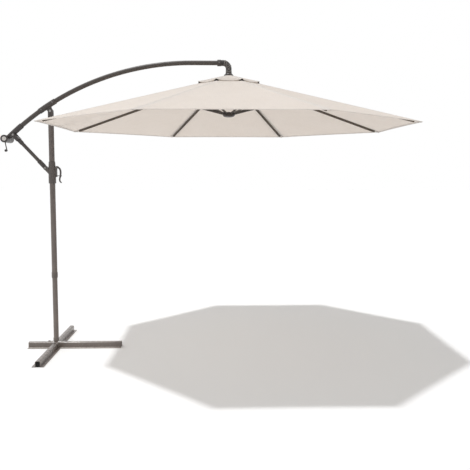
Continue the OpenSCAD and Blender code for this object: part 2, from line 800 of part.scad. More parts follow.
module slider_bush()
  color(cloth_colour) difference() {
    tube(bush_r, bush_in, slider_z + 2, neck_top - 2);
    translate([0, 0, lock_z]) rotate([0, 90, 0]) cylinder(d = lock_d + 2 * slip, h = 2 * bracket_x);
  }

// The strut's pin and the lever's pin
module slider_pins()
  color(steel_colour) {
    reach = slider_ear_in + ear_t;
    bar_y(strut_foot, strut_pin_d / 2, 2 * reach + 1);
    for (side = [-1, 1]) span_y(strut_foot, strut_pin_d / 2 + 2, side * (reach + gap), side * (reach + 3));
    bar_y(lever_pin, lever_pin_d / 2, bracket_w + 2);
  }

// Point at t on the cubic curve through four control points
function cubic(c, t) =
  pow(1 - t, 3) * c[0] + 3 * t * pow(1 - t, 2) * c[1] + 3 * t * t * (1 - t) * c[2] + pow(t, 3) * c[3];
function unit(v) = v / norm(v);
function side_of(v) = [-v[1], v[0]];

// Centreline of the lever from its pin: a bow over the fingers, then a tail that turns out
lever_bow = [[0, 0], [36, -4], [28, -58], [20, -86]];
lever_tail = [[20, -86], [16, -100], [18, -114], [30, -122]];
lever_steps = 12;
lever_line = concat(
  [for (k = [0:lever_steps - 1]) cubic(lever_bow, k / lever_steps)],
  [for (k = [0:lever_steps]) cubic(lever_tail, k / lever_steps)]
);
lever_last = len(lever_line) - 1;
function lever_way(k) = unit(lever_line[min(k + 1, lever_last)] - lever_line[max(k - 1, 0)]);
function lever_half(k) = lever_t / 2 * (1 - 0.4 * k / lever_last);

module lever_outline()
  polygon(concat(
    [for (k = [0:lever_last]) lever_line[k] + lever_half(k) * side_of(lever_way(k))],
    [for (k = [lever_last:-1:0]) lever_line[k] - lever_half(k) * side_of(lever_way(k))]
  ));

module lever() {
  slot_h = 18;
  color(fitting_colour) difference() {
    translate([lever_pin[0], 0, lever_pin[2]]) union() {
      plate(lever_w) {
        lever_outline();
        circle(lever_t / 2);
      }
      bar_y([lever_line[lever_last][0], 0, lever_line[lever_last][1]], lever_half(lever_last), lever_w);
    }
    bar_y(lever_pin, lever_pin_d / 2 + fit, 2 * lever_w);
    translate([bracket_x, -lock_d / 2 - gap, lock_z - slot_h + lock_d / 2 + 1])
      cube([60, lock_d + 2 * gap, slot_h]);
  }
}

module lock_pin() {
  tip = upper_pole_r + gap;
  head = lever_pin[0] + 31;
  color(steel_colour) translate([0, 0, lock_z]) rotate([0, 90, 0]) {
    translate([0, 0, tip]) cylinder(d = lock_d, h = head - tip + bite);
    translate([0, 0, head]) cylinder(d = lock_d + 4, h = 3);
  }
}

module rib(i)
  color(frame_colour) rib_frame(i) difference() {
    union() {
      difference() {
        translate([blade_len, -rib_w / 2, -rib_h / 2]) cube([rib_len - blade_len, rib_w, rib_h]);
        translate([blade_len + plug_len, -rib_w / 2 + rib_wall, -rib_h / 2 - bite])
          cube([rib_len - blade_len - 2 * plug_len, rib_w - 2 * rib_wall, rib_h - rib_wall + bite]);
      }
      plate(blade_t) {
        circle(blade_r);
        translate([0, -blade_r]) square([blade_len + bite, 2 * blade_r]);
      }
      translate([rib_len - bite, -rib_tip_w / 2, rib_h / 2 - rib_tip_t])
        cube([rib_reach - rib_len + bite, rib_tip_w, rib_tip_t]);
      bar_y([link_len, 0, 0], link_pin_r, rib_w);
    }
    bar_y([0, 0, 0], link_pin_r + fit, 2 * blade_t);
  }

module stretcher(i)
  color(frame_colour) stretcher_frame(i) difference() {
    plate(stretcher_t) {
      translate([0, -stretcher_h / 2]) square([link_len, stretcher_h]);
      for (end = [0, link_len]) translate([end, 0]) circle(stretcher_h / 2);
    }
    translate([stretcher_end, 0, -stretcher_wall]) plate(stretcher_t - 2 * stretcher_wall)
      translate([0, -stretcher_h / 2]) square([link_len - 2 * stretcher_end, stretcher_h]);
    for (end = [0, link_len]) bar_y([end, 0, 0], link_pin_r + fit, 2 * stretcher_t);
  }

// Point of a cloth wedge that is centred on a rib: d runs out along the middle of a gore,
// and v runs across, from -1 through 0 on the rib to 1
function wedge_pt(d, v, d0, d1, apex, sag, curve) =
  let (u = 1 - abs(v),
       run = (d - d0) / (d1 - d0),
       bow = (1 - u * u) * sin(180 * run),
       e = d - curve * run * run * (1 - u * u),
       w = gap / 2 + u * (e * tan(half) - gap / 2))
  [e * cos(half) + w * sin(half),
   sign(v) * (e * sin(half) - w * cos(half)),
   apex - e * tan(slope) / cos(half) - sag * bow];

// Closed sheet of thickness t under a grid of points, rows outwards and columns across
module sheet(grid, t) {
  rows = len(grid);
  cols = len(grid[0]);
  count = rows * cols;
  top = [for (row = grid) each row];
  under = [for (p = top) p - [0, 0, t]];
  function at(r, c) = r * cols + c;
  skin = [for (r = [0:rows - 2], c = [0:cols - 2]) each [
    [at(r, c), at(r, c + 1), at(r + 1, c)], [at(r, c + 1), at(r + 1, c + 1), at(r + 1, c)]]];
  rim = concat(
    [for (c = [0:cols - 1]) at(0, c)], [for (r = [1:rows - 1]) at(r, cols - 1)],
    [for (c = [cols - 2:-1:0]) at(rows - 1, c)], [for (r = [rows - 2:-1:1]) at(r, 0)]);
  edge = [for (k = [0:len(rim) - 1]) let (a = rim[k], b = rim[(k + 1) % len(rim)]) each [
    [a, a + count, b], [b, a + count, b + count]]];
  lining = [for (f = skin) [f[2] + count, f[1] + count, f[0] + count]];
  polyhedron(concat(top, under), concat(skin, edge, lining));
}

cloth_rows = 6;
cloth_cols = 6;

module wedge(r0, r1, apex, sag, curve) {
  d0 = r0 * cos(half);
  d1 = r1 * cos(half);
  sheet([for (r = [0:cloth_rows]) [for (c = [-cloth_cols / 2:cloth_cols / 2])
    wedge_pt(d0 + (d1 - d0) * r / cloth_rows, 2 * c / cloth_cols, d0, d1, apex, sag, curve)]], cloth_t);
}

module canopy_panel(i)
  color(cloth_colour) to_rib(i) union() {
    wedge(vent_open_r, canopy_r, apex_z, cloth_sag, hem_curve);
    wedge(vent_in_r, vent_r, apex_z + vent_lift, 0, 0);
    translate([vent_r - tab_len, 0, apex_z - (vent_r - tab_len) * tan(slope)]) rotate([0, slope, 0])
      translate([0, -tab_w / 2, -cloth_t * 0.9])
        cube([tab_len * 0.8, tab_w, vent_lift * cos(slope) + cloth_t * 0.5]);
  }

cross_bar_long();
cross_bar_right();
cross_bar_left();
base_cap();
base_bolts();
lower_pole();
pole_collar();
upper_pole();
pole_head();
arm_pivot_pin();
arm_tube();
arm_saddle();
arm_screws();
elbow();
elbow_collar();
canopy_skirt();
crown();
crown_pins();
hoist_pulley();
crank_housing();
strut_pin();
reel();
crank_rim();
crank_disc();
crank_arm();
crank_knob();
strut_tube();
strut_fork();
strut_socket();
slider_body();
slider_bush();
slider_pins();
lever();
lock_pin();
runner();
runner_pins();
for (i = [1:ribs]) {
  rib(i);
  stretcher(i);
  canopy_panel(i);
}
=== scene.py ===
import math

import bmesh
import bpy
import numpy as np
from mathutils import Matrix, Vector, noise


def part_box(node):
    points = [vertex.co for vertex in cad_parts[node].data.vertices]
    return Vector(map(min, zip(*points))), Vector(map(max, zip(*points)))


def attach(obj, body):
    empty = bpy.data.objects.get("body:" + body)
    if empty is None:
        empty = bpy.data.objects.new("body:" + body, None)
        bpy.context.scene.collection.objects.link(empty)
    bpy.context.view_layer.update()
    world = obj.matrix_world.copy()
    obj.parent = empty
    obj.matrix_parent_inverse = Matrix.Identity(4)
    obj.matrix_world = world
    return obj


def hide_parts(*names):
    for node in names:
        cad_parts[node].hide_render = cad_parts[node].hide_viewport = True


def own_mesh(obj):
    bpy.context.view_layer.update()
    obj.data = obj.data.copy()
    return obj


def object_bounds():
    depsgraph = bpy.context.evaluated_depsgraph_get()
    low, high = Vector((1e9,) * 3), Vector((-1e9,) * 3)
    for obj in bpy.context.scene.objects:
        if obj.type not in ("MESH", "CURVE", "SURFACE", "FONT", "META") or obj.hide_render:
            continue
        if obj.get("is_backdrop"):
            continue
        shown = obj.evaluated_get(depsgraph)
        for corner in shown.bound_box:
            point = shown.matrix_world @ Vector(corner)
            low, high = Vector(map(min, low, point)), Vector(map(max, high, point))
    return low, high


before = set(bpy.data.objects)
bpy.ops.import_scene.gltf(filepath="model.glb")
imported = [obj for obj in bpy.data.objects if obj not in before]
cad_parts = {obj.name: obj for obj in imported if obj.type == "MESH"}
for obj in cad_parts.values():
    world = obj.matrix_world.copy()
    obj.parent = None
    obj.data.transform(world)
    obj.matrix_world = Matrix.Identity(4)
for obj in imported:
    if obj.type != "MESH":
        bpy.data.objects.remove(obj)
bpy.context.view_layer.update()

scene = bpy.context.scene
print("frame loaded:", len(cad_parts), "nodes")

# sizes that the cloth and trim share with the solids, metres and degrees
canopy = dict(ribs=8, radius=1.48, edgeClear=0.041, cornerZ=1.781, slope=15.1, pivotRing=0.036,
              ribWidth=0.012, linkLength=0.530)
halfGore = math.pi / canopy["ribs"]
cosHalf, sinHalf, tanHalf = math.cos(halfGore), math.sin(halfGore), math.tan(halfGore)
tanSlope = math.tan(math.radians(canopy["slope"]))
cosSlope, sinSlope = math.cos(math.radians(canopy["slope"])), math.sin(math.radians(canopy["slope"]))
canopyX = canopy["radius"] * cosHalf + canopy["edgeClear"]
peakZ = canopy["cornerZ"] + canopy["radius"] * tanSlope
ribNumbers = range(1, canopy["ribs"] + 1)


def ribAngle(i):
    return halfGore * (2 * i - 1)


def ribToWorld(i, points):  # rib frame: x out along the rib's bearing, y across, z up
    a = ribAngle(i)
    p = np.asarray(points, float)
    return np.stack([canopyX + p[..., 0] * math.cos(a) - p[..., 1] * math.sin(a),
                     p[..., 0] * math.sin(a) + p[..., 1] * math.cos(a), p[..., 2]], -1)


# small helpers

def addMesh(name, points, faces, material=None, smooth=True, edges=()):
    mesh = bpy.data.meshes.new(name)
    mesh.from_pydata([tuple(p) for p in points], list(edges), [tuple(f) for f in faces])
    if smooth:
        mesh.polygons.foreach_set("use_smooth", [True] * len(mesh.polygons))
    if material:
        mesh.materials.append(material)
    piece = bpy.data.objects.new(name, mesh)
    scene.collection.objects.link(piece)
    return piece


def gridFaces(rows, cols, flip=False):
    faces = []
    for r in range(rows - 1):
        for c in range(cols - 1):
            a, b, d, e = r * cols + c, r * cols + c + 1, (r + 1) * cols + c + 1, (r + 1) * cols + c
            faces.append((e, d, b, a) if flip else (a, b, d, e))
    return faces


def addUv(piece, name, uvs):
    layer = piece.data.uv_layers.new(name=name)
    index = np.zeros(len(piece.data.loops), np.int32)
    piece.data.loops.foreach_get("vertex_index", index)
    layer.data.foreach_set("uv", np.asarray(uvs, np.float32)[index].ravel())


def addPointValue(piece, name, values):
    piece.data.attributes.new(name, "FLOAT", "POINT").data.foreach_set(
        "value", np.asarray(values, np.float32).ravel())


def bakeModifiers(piece):  # turns the evaluated result into the piece's plain mesh
    graph = bpy.context.evaluated_depsgraph_get()
    made = bpy.data.meshes.new_from_object(piece.evaluated_get(graph), preserve_all_data_layers=True, depsgraph=graph)
    piece.modifiers.clear()
    piece.data = made
    for k in reversed(range(len(made.materials))):
        if made.materials[k] is None:
            made.materials.pop(index=k)
    return piece


def thicken(piece, thickness, sharp=50):  # gives a sheet its thickness below its face, with crisp edges
    solid = piece.modifiers.new("thickness", "SOLIDIFY")
    solid.thickness, solid.offset, solid.use_even_offset = thickness, -1, False
    bakeModifiers(piece)
    piece.data.set_sharp_from_angle(angle=math.radians(sharp))
    return piece


def lathe(profile, segments):  # profile of (radius, height) from bottom axis to top axis, closed
    points, faces = [], []
    rings = []
    for r, h in profile:
        if r == 0:  # a point on the axis
            rings.append([len(points)])
            points.append((0, 0, h))
        else:
            rings.append(list(range(len(points), len(points) + segments)))
            points += [(r * math.cos(2 * math.pi * k / segments), r * math.sin(2 * math.pi * k / segments), h)
                       for k in range(segments)]
    for low, high in zip(rings, rings[1:]):
        for k in range(segments):
            n = (k + 1) % segments
            face = [low[k % len(low)], low[n % len(low)], high[n % len(high)], high[k % len(high)]]
            faces.append(list(dict.fromkeys(face)))
    return points, faces


# finishes

def finish(name, colour, roughness, **values):
    material = bpy.data.materials.new(name)
    material.use_nodes = True
    tree = material.node_tree
    shader = tree.nodes["Principled BSDF"]
    shader.inputs["Base Color"].default_value = (*colour, 1)
    shader.inputs["Roughness"].default_value = roughness
    for socket, value in values.items():
        shader.inputs[socket].default_value = value
    return material, tree, shader


def addNode(tree, kind, inputs=None, **settings):
    made = tree.nodes.new(kind)
    for key, value in settings.items():
        setattr(made, key, value)
    for key, value in (inputs or {}).items():
        if isinstance(value, bpy.types.NodeSocket):
            tree.links.new(value, made.inputs[key])
        else:
            made.inputs[key].default_value = value
    return made


def srgb(r, g, b):  # a colour as a picture shows it, to the linear values a shader takes
    return tuple(c / 12.92 if c <= 0.04045 else ((c + 0.055) / 1.055) ** 2.4 for c in (r / 255, g / 255, b / 255))


def shade(colour, factor):
    return (*[min(1, c * factor) for c in colour], 1)


def objectPlace(tree):
    return addNode(tree, "ShaderNodeTexCoord").outputs["Object"]


def mapRange(tree, value, low, high, fromLow=0.0, fromHigh=1.0):
    return addNode(tree, "ShaderNodeMapRange", {"Value": value, "From Min": fromLow, "From Max": fromHigh,
                                                "To Min": low, "To Max": high}).outputs["Result"]


def noiseAt(tree, place, scale, detail=2.0, rough=0.5):
    return addNode(tree, "ShaderNodeTexNoise",
                   {"Vector": place, "Scale": scale, "Detail": detail, "Roughness": rough}).outputs["Fac"]


def mixColour(tree, factor, first, second):
    return addNode(tree, "ShaderNodeMix", {0: factor, 6: first, 7: second}, data_type="RGBA").outputs[2]


def twoTones(tree, factor, colour, tones):  # between a darker and a lighter shade of one colour
    return mixColour(tree, factor, *[shade(colour, tone) for tone in tones])


def maths(tree, operation, a, b=None, clamp=False):
    inputs = {0: a} if b is None else {0: a, 1: b}
    return addNode(tree, "ShaderNodeMath", inputs, operation=operation, use_clamp=clamp).outputs[0]


def times(tree, first, *others):
    for other in others:
        first = maths(tree, "MULTIPLY", first, other)
    return first


def wavesAlong(tree, value, turns):
    return maths(tree, "SINE", times(tree, value, turns))


def partsOf(tree, vector):  # X, Y and Z of a vector
    return addNode(tree, "ShaderNodeSeparateXYZ", {"Vector": vector}).outputs


def cellsAt(tree, place, scale, output="Distance"):
    return addNode(tree, "ShaderNodeTexVoronoi", {"Vector": place, "Scale": scale}).outputs[output]


def roundedNormal(tree, radius=0.0008):  # the normal as if edges were rounded this far
    return addNode(tree, "ShaderNodeBevel", {"Radius": radius}, samples=4).outputs["Normal"]


def edgeWear(tree, radius):  # share of the surface that lies on an edge
    flat = addNode(tree, "ShaderNodeNewGeometry").outputs["Normal"]
    facing = addNode(tree, "ShaderNodeVectorMath", {0: roundedNormal(tree, radius), 1: flat}, operation="DOT_PRODUCT")
    return mapRange(tree, facing.outputs["Value"], 1.0, 0.0, 0.75, 0.99)


def setTone(tree, shader, tone, roughness=None):
    tree.links.new(tone, shader.inputs["Base Color"])
    if roughness is not None:
        tree.links.new(roughness, shader.inputs["Roughness"])


def setSkin(tree, shader, height, strength, depth, normal=None):  # fine relief of the surface
    skin = addNode(tree, "ShaderNodeBump", {"Height": height, "Strength": strength, "Distance": depth})
    if normal is not None:
        tree.links.new(normal, skin.inputs["Normal"])
    tree.links.new(skin.outputs["Normal"], shader.inputs["Normal"])
    return skin.outputs["Normal"]


# some of these sizes paint light: the pole paler towards the floor, and a highlight on the base bars' flanges
paintLook = dict(coatRoughness=0.08, cloudScale=9.0, cloudTones=(0.90, 1.12), speckScale=1400.0, speckTone=1.35,
                 edge=0.0016, patchScale=120.0, wornTone=1.9, floorLightHeights=(0.15, 1.85), floorLightMost=0.92, floorLightPatches=0.12,
                 flangeHighlightHeights=(0.005, 0.009), flangeHighlightScale=30.0, smearScale=45.0, smear=(-0.07, 0.07),
                 grainScale=700.0, grainDepth=0.0004)


def paintedMetal(name, colour, roughness, peel=0.10, wearColour=None, wear=0.5, coat=0.0, paintedFlangeHighlight=None, paintedFloorLight=None):
    look = paintLook
    material, tree, shader = finish(name, colour, roughness, **{
        "Specular IOR Level": 0.45, "Coat Weight": coat, "Coat Roughness": look["coatRoughness"]})
    place = objectPlace(tree)
    broad = noiseAt(tree, place, look["cloudScale"], 3.0)
    speck = noiseAt(tree, place, look["speckScale"], 1.0)
    tone = twoTones(tree, broad, colour, look["cloudTones"])
    tone = mixColour(tree, mapRange(tree, speck, 0.0, 1.0, 0.60, 0.72), tone, shade(colour, look["speckTone"]))
    if paintedFloorLight:  # painted light and shade: the paint turns paler towards the floor, and the top under the canopy stays darker
        low = mapRange(tree, partsOf(tree, place)["Z"], look["floorLightMost"], 0.0, *look["floorLightHeights"])
        share = maths(tree, "ADD", low, mapRange(tree, broad, -look["floorLightPatches"], look["floorLightPatches"], 0.3, 0.7))
        tone = mixColour(tree, maths(tree, "MULTIPLY", share, 1.0, clamp=True), tone, (*paintedFloorLight, 1))
    patchy = mapRange(tree, noiseAt(tree, place, look["patchScale"], 3.0), 0.0, 1.0, 0.42, 0.62)
    worn = times(tree, edgeWear(tree, look["edge"]), patchy, wear)
    tone = mixColour(tree, worn, tone, (*(wearColour or shade(colour, look["wornTone"])[:3]), 1))
    if paintedFlangeHighlight:  # painted highlight: the paint turns pale where it faces up near the floor, on the bars' flanges
        up = partsOf(tree, addNode(tree, "ShaderNodeNewGeometry").outputs["Normal"])["Z"]
        flangeHighlightShare = times(tree, mapRange(tree, up, 0.0, 1.0, 0.6, 0.9),
                       mapRange(tree, partsOf(tree, place)["Z"], 1.0, 0.0, *look["flangeHighlightHeights"]),
                       mapRange(tree, noiseAt(tree, place, look["flangeHighlightScale"], 3.0), 0.55, 0.95, 0.3, 0.7))
        tone = mixColour(tree, flangeHighlightShare, tone, (*paintedFlangeHighlight, 1))
    smear = noiseAt(tree, place, look["smearScale"])
    setTone(tree, shader, tone, mapRange(tree, smear, *[roughness + s for s in look["smear"]], 0.3, 0.7))
    grain = noiseAt(tree, place, look["grainScale"], 2.0)
    setSkin(tree, shader, grain, peel, look["grainDepth"], roundedNormal(tree))
    return material


castLook = dict(roughness=0.40, pitScale=420.0, pitShare=0.5, lumpScale=240.0, tones=(0.82, 1.2), edge=0.002,
                wear=0.4, wornTone=1.8, strength=0.22, depth=0.0006)


def castPaint(name, colour):  # thick paint on a rough casting
    look = castLook
    material, tree, shader = finish(name, colour, look["roughness"])
    place = objectPlace(tree)
    pits = cellsAt(tree, place, look["pitScale"])
    lumps = noiseAt(tree, place, look["lumpScale"], 4.0, 0.6)
    tone = twoTones(tree, lumps, colour, look["tones"])
    worn = times(tree, edgeWear(tree, look["edge"]), look["wear"])
    setTone(tree, shader, mixColour(tree, worn, tone, shade(colour, look["wornTone"])))
    height = maths(tree, "ADD", times(tree, pits, look["pitShare"]), lumps)
    setSkin(tree, shader, height, look["strength"], look["depth"], roundedNormal(tree))
    return material


plasticLook = dict(sparkScale=900.0, sparkDepth=0.0003, cloudScale=26.0, tones=(0.86, 1.16), edge=0.0018,
                   scuffScale=160.0, scuff=0.5, wornTone=2.1, smear=(-0.06, 0.1))


def mouldedPlastic(name, colour, roughness, texture=0.12):
    look = plasticLook
    material, tree, shader = finish(name, colour, roughness)
    place = objectPlace(tree)
    spark = cellsAt(tree, place, look["sparkScale"])
    cloud = noiseAt(tree, place, look["cloudScale"], 3.0)
    tone = twoTones(tree, cloud, colour, look["tones"])
    patchy = mapRange(tree, noiseAt(tree, place, look["scuffScale"], 4.0, 0.7), 0.0, 1.0, 0.5, 0.7)
    worn = times(tree, edgeWear(tree, look["edge"]), patchy, look["scuff"])
    tone = mixColour(tree, worn, tone, shade(colour, look["wornTone"]))
    setTone(tree, shader, tone, mapRange(tree, cloud, *[roughness + s for s in look["smear"]], 0.3, 0.7))
    setSkin(tree, shader, spark, texture, look["sparkDepth"], roundedNormal(tree))
    return material


steelLook = dict(colour=srgb(150, 148, 146), tarnish=srgb(110, 98, 86), spangleScale=260.0, tones=(0.85, 1.15),
                 tarnishScale=90.0, smearScale=200.0, smear=(0.26, 0.46), edge=0.0005, grainScale=800.0,
                 strength=0.08, depth=0.0002)


def zincSteel(name):
    look = steelLook
    material, tree, shader = finish(name, look["colour"], 0.34, Metallic=1.0)
    place = objectPlace(tree)
    spangle = cellsAt(tree, place, look["spangleScale"], "Color")
    flake = addNode(tree, "ShaderNodeSeparateColor", {"Color": spangle}).outputs["Red"]
    tone = twoTones(tree, flake, look["colour"], look["tones"])
    dull = mapRange(tree, noiseAt(tree, place, look["tarnishScale"], 4.0), 0.0, 0.35, 0.55, 0.8)
    tone = mixColour(tree, dull, tone, (*look["tarnish"], 1))
    setTone(tree, shader, tone, mapRange(tree, noiseAt(tree, place, look["smearScale"]), *look["smear"], 0.3, 0.7))
    setSkin(tree, shader, noiseAt(tree, place, look["grainScale"]), look["strength"], look["depth"],
            roundedNormal(tree, look["edge"]))
    return material


discLook = dict(colour=srgb(222, 217, 212), centre=(-0.34674, 0.0, 1.68537), rings=2600.0, cloudScale=60.0,
                tones=(0.92, 1.04), edge=0.001, wear=0.35, wornTone=0.6, strength=0.10, depth=0.0002)


def turnedDisc(name):  # pale cap with the fine rings that a lathe leaves
    look = discLook
    material, tree, shader = finish(name, look["colour"], 0.38)
    at = addNode(tree, "ShaderNodeMapping", {"Vector": objectPlace(tree),
                                             "Location": tuple(-c for c in look["centre"])}).outputs["Vector"]
    parts = partsOf(tree, at)
    flat = addNode(tree, "ShaderNodeCombineXYZ", {"X": parts["X"], "Z": parts["Z"]}).outputs["Vector"]
    radius = addNode(tree, "ShaderNodeVectorMath", {0: flat}, operation="LENGTH").outputs["Value"]
    tone = twoTones(tree, noiseAt(tree, at, look["cloudScale"], 3.0), look["colour"], look["tones"])
    worn = times(tree, edgeWear(tree, look["edge"]), look["wear"])
    setTone(tree, shader, mixColour(tree, worn, tone, shade(look["colour"], look["wornTone"])))
    setSkin(tree, shader, wavesAlong(tree, radius, look["rings"]), look["strength"], look["depth"], roundedNormal(tree))
    return material


clothLook = dict(colour=srgb(245, 239, 233), stain=srgb(226, 215, 204), pitch=0.0019, weaveDepth=0.14, depth=0.0004,
                 through=0.37, sewnThrough=0.15, seamShare=0.20, seamTone=0.72, slubFine=420.0, slubLong=7.0,
                 slubTones=(0.955, 1.03), slubDepth=0.8, smear=(0.76, 0.9), cloudScale=2.6, gapShadeTone=0.6)


def canopyCloth(name):
    look, colour = clothLook, clothLook["colour"]
    material, tree, shader = finish(name, colour, 0.82, **{"Specular IOR Level": 0.22, "Sheen Weight": 0.18,
                                                           "Sheen Roughness": 0.5})
    threads = addNode(tree, "ShaderNodeUVMap", uv_map="weave").outputs["UV"]
    across = partsOf(tree, threads)
    warp, weft = (wavesAlong(tree, across[way], 2 * math.pi / look["pitch"]) for way in "XY")
    weave = mapRange(tree, times(tree, warp, weft), 0.0, 1.0, -1.0, 1.0)
    slubs = []
    for stretch in ((look["slubFine"], look["slubLong"], 1.0), (look["slubLong"], look["slubFine"], 1.0)):
        drawn = addNode(tree, "ShaderNodeMapping", {"Vector": threads, "Scale": stretch}).outputs["Vector"]
        slubs.append(noiseAt(tree, drawn, 1.0, 2.0))
    slub = times(tree, maths(tree, "ADD", *slubs), 0.5)
    cloud = noiseAt(tree, threads, look["cloudScale"], 4.0, 0.55)
    tone = twoTones(tree, mapRange(tree, slub, 0.0, 1.0, 0.38, 0.62), colour, look["slubTones"])
    tone = mixColour(tree, mapRange(tree, cloud, 0.0, 0.16, 0.35, 0.75), tone, (*look["stain"], 1))
    # painted shade: the tone darkens in the gaps between the threads
    tone = mixColour(tree, mapRange(tree, weave, 0.06, 0.0), tone, shade(colour, look["gapShadeTone"]))
    layers = addNode(tree, "ShaderNodeAttribute", attribute_name="layers").outputs["Fac"]
    tone = mixColour(tree, times(tree, layers, look["seamShare"]), tone, shade(colour, look["seamTone"]))
    setTone(tree, shader, tone, mapRange(tree, slub, *look["smear"], 0.38, 0.62))
    height = maths(tree, "ADD", weave, times(tree, slub, look["slubDepth"]))
    normal = setSkin(tree, shader, height, look["weaveDepth"], look["depth"])
    glow = addNode(tree, "ShaderNodeBsdfTranslucent", {"Color": tone, "Normal": normal})
    # little light comes through sewn layers
    share = mapRange(tree, layers, look["through"], look["through"] * look["sewnThrough"])
    both = addNode(tree, "ShaderNodeMixShader", {0: share, 1: shader.outputs["BSDF"], 2: glow.outputs["BSDF"]})
    tree.links.new(both.outputs["Shader"], tree.nodes["Material Output"].inputs["Surface"])
    return material


webbingLook = dict(colour=srgb(52, 45, 42), rows=3200.0, bands=2600.0, tones=(0.75, 1.3), strength=0.3, depth=0.0005)


def darkWebbing(name):  # coarse dark tape at the vent's corners, its dark partly painted shade in the openings under the raised corners
    look = webbingLook
    material, tree, shader = finish(name, look["colour"], 0.78, **{"Specular IOR Level": 0.25, "Sheen Weight": 0.15})
    parts = partsOf(tree, objectPlace(tree))
    rows = wavesAlong(tree, parts["Z"], look["rows"])
    bands = wavesAlong(tree, maths(tree, "ADD", parts["X"], parts["Y"]), look["bands"])
    weave = mapRange(tree, times(tree, rows, bands), 0.0, 1.0, -1.0, 1.0)
    # painted light and shade: the weave's raised threads lighter, its low places darker
    setTone(tree, shader, twoTones(tree, weave, look["colour"], look["tones"]))
    setSkin(tree, shader, weave, look["strength"], look["depth"])
    return material


threadLook = dict(colour=srgb(232, 223, 213), twistScale=1500.0, tones=(0.8, 1.1), strength=0.3, depth=0.0002)


def sewingThread(name):
    look = threadLook
    material, tree, shader = finish(name, look["colour"], 0.62, **{"Specular IOR Level": 0.35, "Sheen Weight": 0.2})
    twist = noiseAt(tree, objectPlace(tree), look["twistScale"], 1.0)
    setTone(tree, shader, twoTones(tree, twist, look["colour"], look["tones"]))
    setSkin(tree, shader, twist, look["strength"], look["depth"])
    return material


barWear = dict(peel=0.05, wearColour=srgb(190, 182, 176), wear=0.8)
# painted shade: the long bar's paint is a darker copy of the base paint, without its painted flange highlight
shadedLongBarPaint = paintedMetal("long_bar_shaded_paint", srgb(110, 101, 95), 0.30, coat=0.4, **barWear)
# the base paint carries a painted highlight on the bars' up-facing flanges
basePaint = paintedMetal("base_paint", srgb(118, 108, 101), 0.24, coat=0.5, paintedFlangeHighlight=srgb(214, 207, 201), **barWear)
# the pole's paler foot and darker top are painted light and shade
polePaint = paintedMetal("pole_paint", srgb(97, 89, 85), 0.42, paintedFloorLight=srgb(134, 124, 118))
framePaint = paintedMetal("frame_paint", srgb(75, 69, 65), 0.40)
ribPaint = paintedMetal("rib_paint", srgb(98, 88, 78), 0.42)
headPaint = castPaint("cast_paint", srgb(70, 64, 61))
fittingPlastic = mouldedPlastic("fitting_plastic", srgb(66, 60, 58), 0.30)
sliderPlastic = mouldedPlastic("slider_plastic", srgb(90, 83, 79), 0.36)
collarPlastic = mouldedPlastic("collar_plastic", srgb(106, 98, 93), 0.36)
# the paler web plastic and the darker elbow plastic are lit and shaded copies of one plastic: painted highlight and
# painted shade
webHighlightPlastic = mouldedPlastic("web_painted_highlight", srgb(126, 122, 119), 0.28)
elbowShadePlastic = mouldedPlastic("elbow_painted_shade", srgb(52, 48, 46), 0.32)
hubPlastic = mouldedPlastic("hub_plastic", srgb(62, 54, 51), 0.38)
plugPlastic = mouldedPlastic("plug_plastic", srgb(14, 12, 11), 0.8, 0.05)
bushNylon = mouldedPlastic("bush_nylon", srgb(196, 190, 182), 0.5, 0.05)
pinSteel = zincSteel("pin_steel")
discFace = turnedDisc("crank_disc_face")
clothFinish = canopyCloth("canopy_cloth")
webbingFinish = darkWebbing("vent_webbing")
threadFinish = sewingThread("sewing_thread")

finishNodes = [
    (shadedLongBarPaint, ["cross_bar_long"]),
    (basePaint, ["cross_bar_right", "cross_bar_left", "base_cap"]),
    (polePaint, ["lower_pole", "upper_pole"]),
    (framePaint, ["arm_tube", "strut_tube", "crank_arm"] + [f"stretcher_{i}" for i in ribNumbers]),
    (ribPaint, [f"rib_{i}" for i in ribNumbers]),
    (headPaint, ["pole_head", "arm_saddle"]),
    (elbowShadePlastic, ["elbow"]),
    (fittingPlastic, ["elbow_collar", "canopy_skirt", "crank_housing", "crank_rim", "crank_knob", "reel",
                      "hoist_pulley", "strut_fork", "strut_socket", "lever"]),
    (sliderPlastic, ["slider_body"]),
    (collarPlastic, ["pole_collar"]),
    (hubPlastic, ["crown", "runner"]),
    (bushNylon, ["slider_bush"]),
    (discFace, ["crank_disc"]),
    (pinSteel, ["base_bolts", "arm_pivot_pin", "arm_screws", "crown_pins", "runner_pins", "strut_pin",
                "slider_pins", "lock_pin"]),
    (clothFinish, [f"canopy_panel_{i}" for i in ribNumbers]),
]
for material, names in finishNodes:
    for name in names:
        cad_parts[name].data.materials.clear()
        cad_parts[name].data.materials.append(material)
print("finishes on", sum(len(names) for _, names in finishNodes), "nodes")


# node trees for what repeats

def newTree(name, sockets):
    tree = bpy.data.node_groups.new(name, "GeometryNodeTree")
    tree.is_modifier = True
    tree.interface.new_socket("Geometry", in_out="INPUT", socket_type="NodeSocketGeometry")
    for label, kind, value in sockets:
        made = tree.interface.new_socket(label, in_out="INPUT", socket_type=kind)
        if value is not None:
            made.default_value = value
    tree.interface.new_socket("Geometry", in_out="OUTPUT", socket_type="NodeSocketGeometry")
    return tree, tree.nodes.new("NodeGroupInput"), tree.nodes.new("NodeGroupOutput")


def endTree(tree, given, out, geometry):  # smooth, real faces with the finish set
    real = addNode(tree, "GeometryNodeRealizeInstances", {"Geometry": geometry})
    smooth = addNode(tree, "GeometryNodeSetShadeSmooth", {"Geometry": real.outputs["Geometry"]})
    dressed = addNode(tree, "GeometryNodeSetMaterial", {"Geometry": smooth.outputs["Geometry"],
                                                        "Material": given.outputs["Finish"]})
    tree.links.new(dressed.outputs["Geometry"], out.inputs["Geometry"])


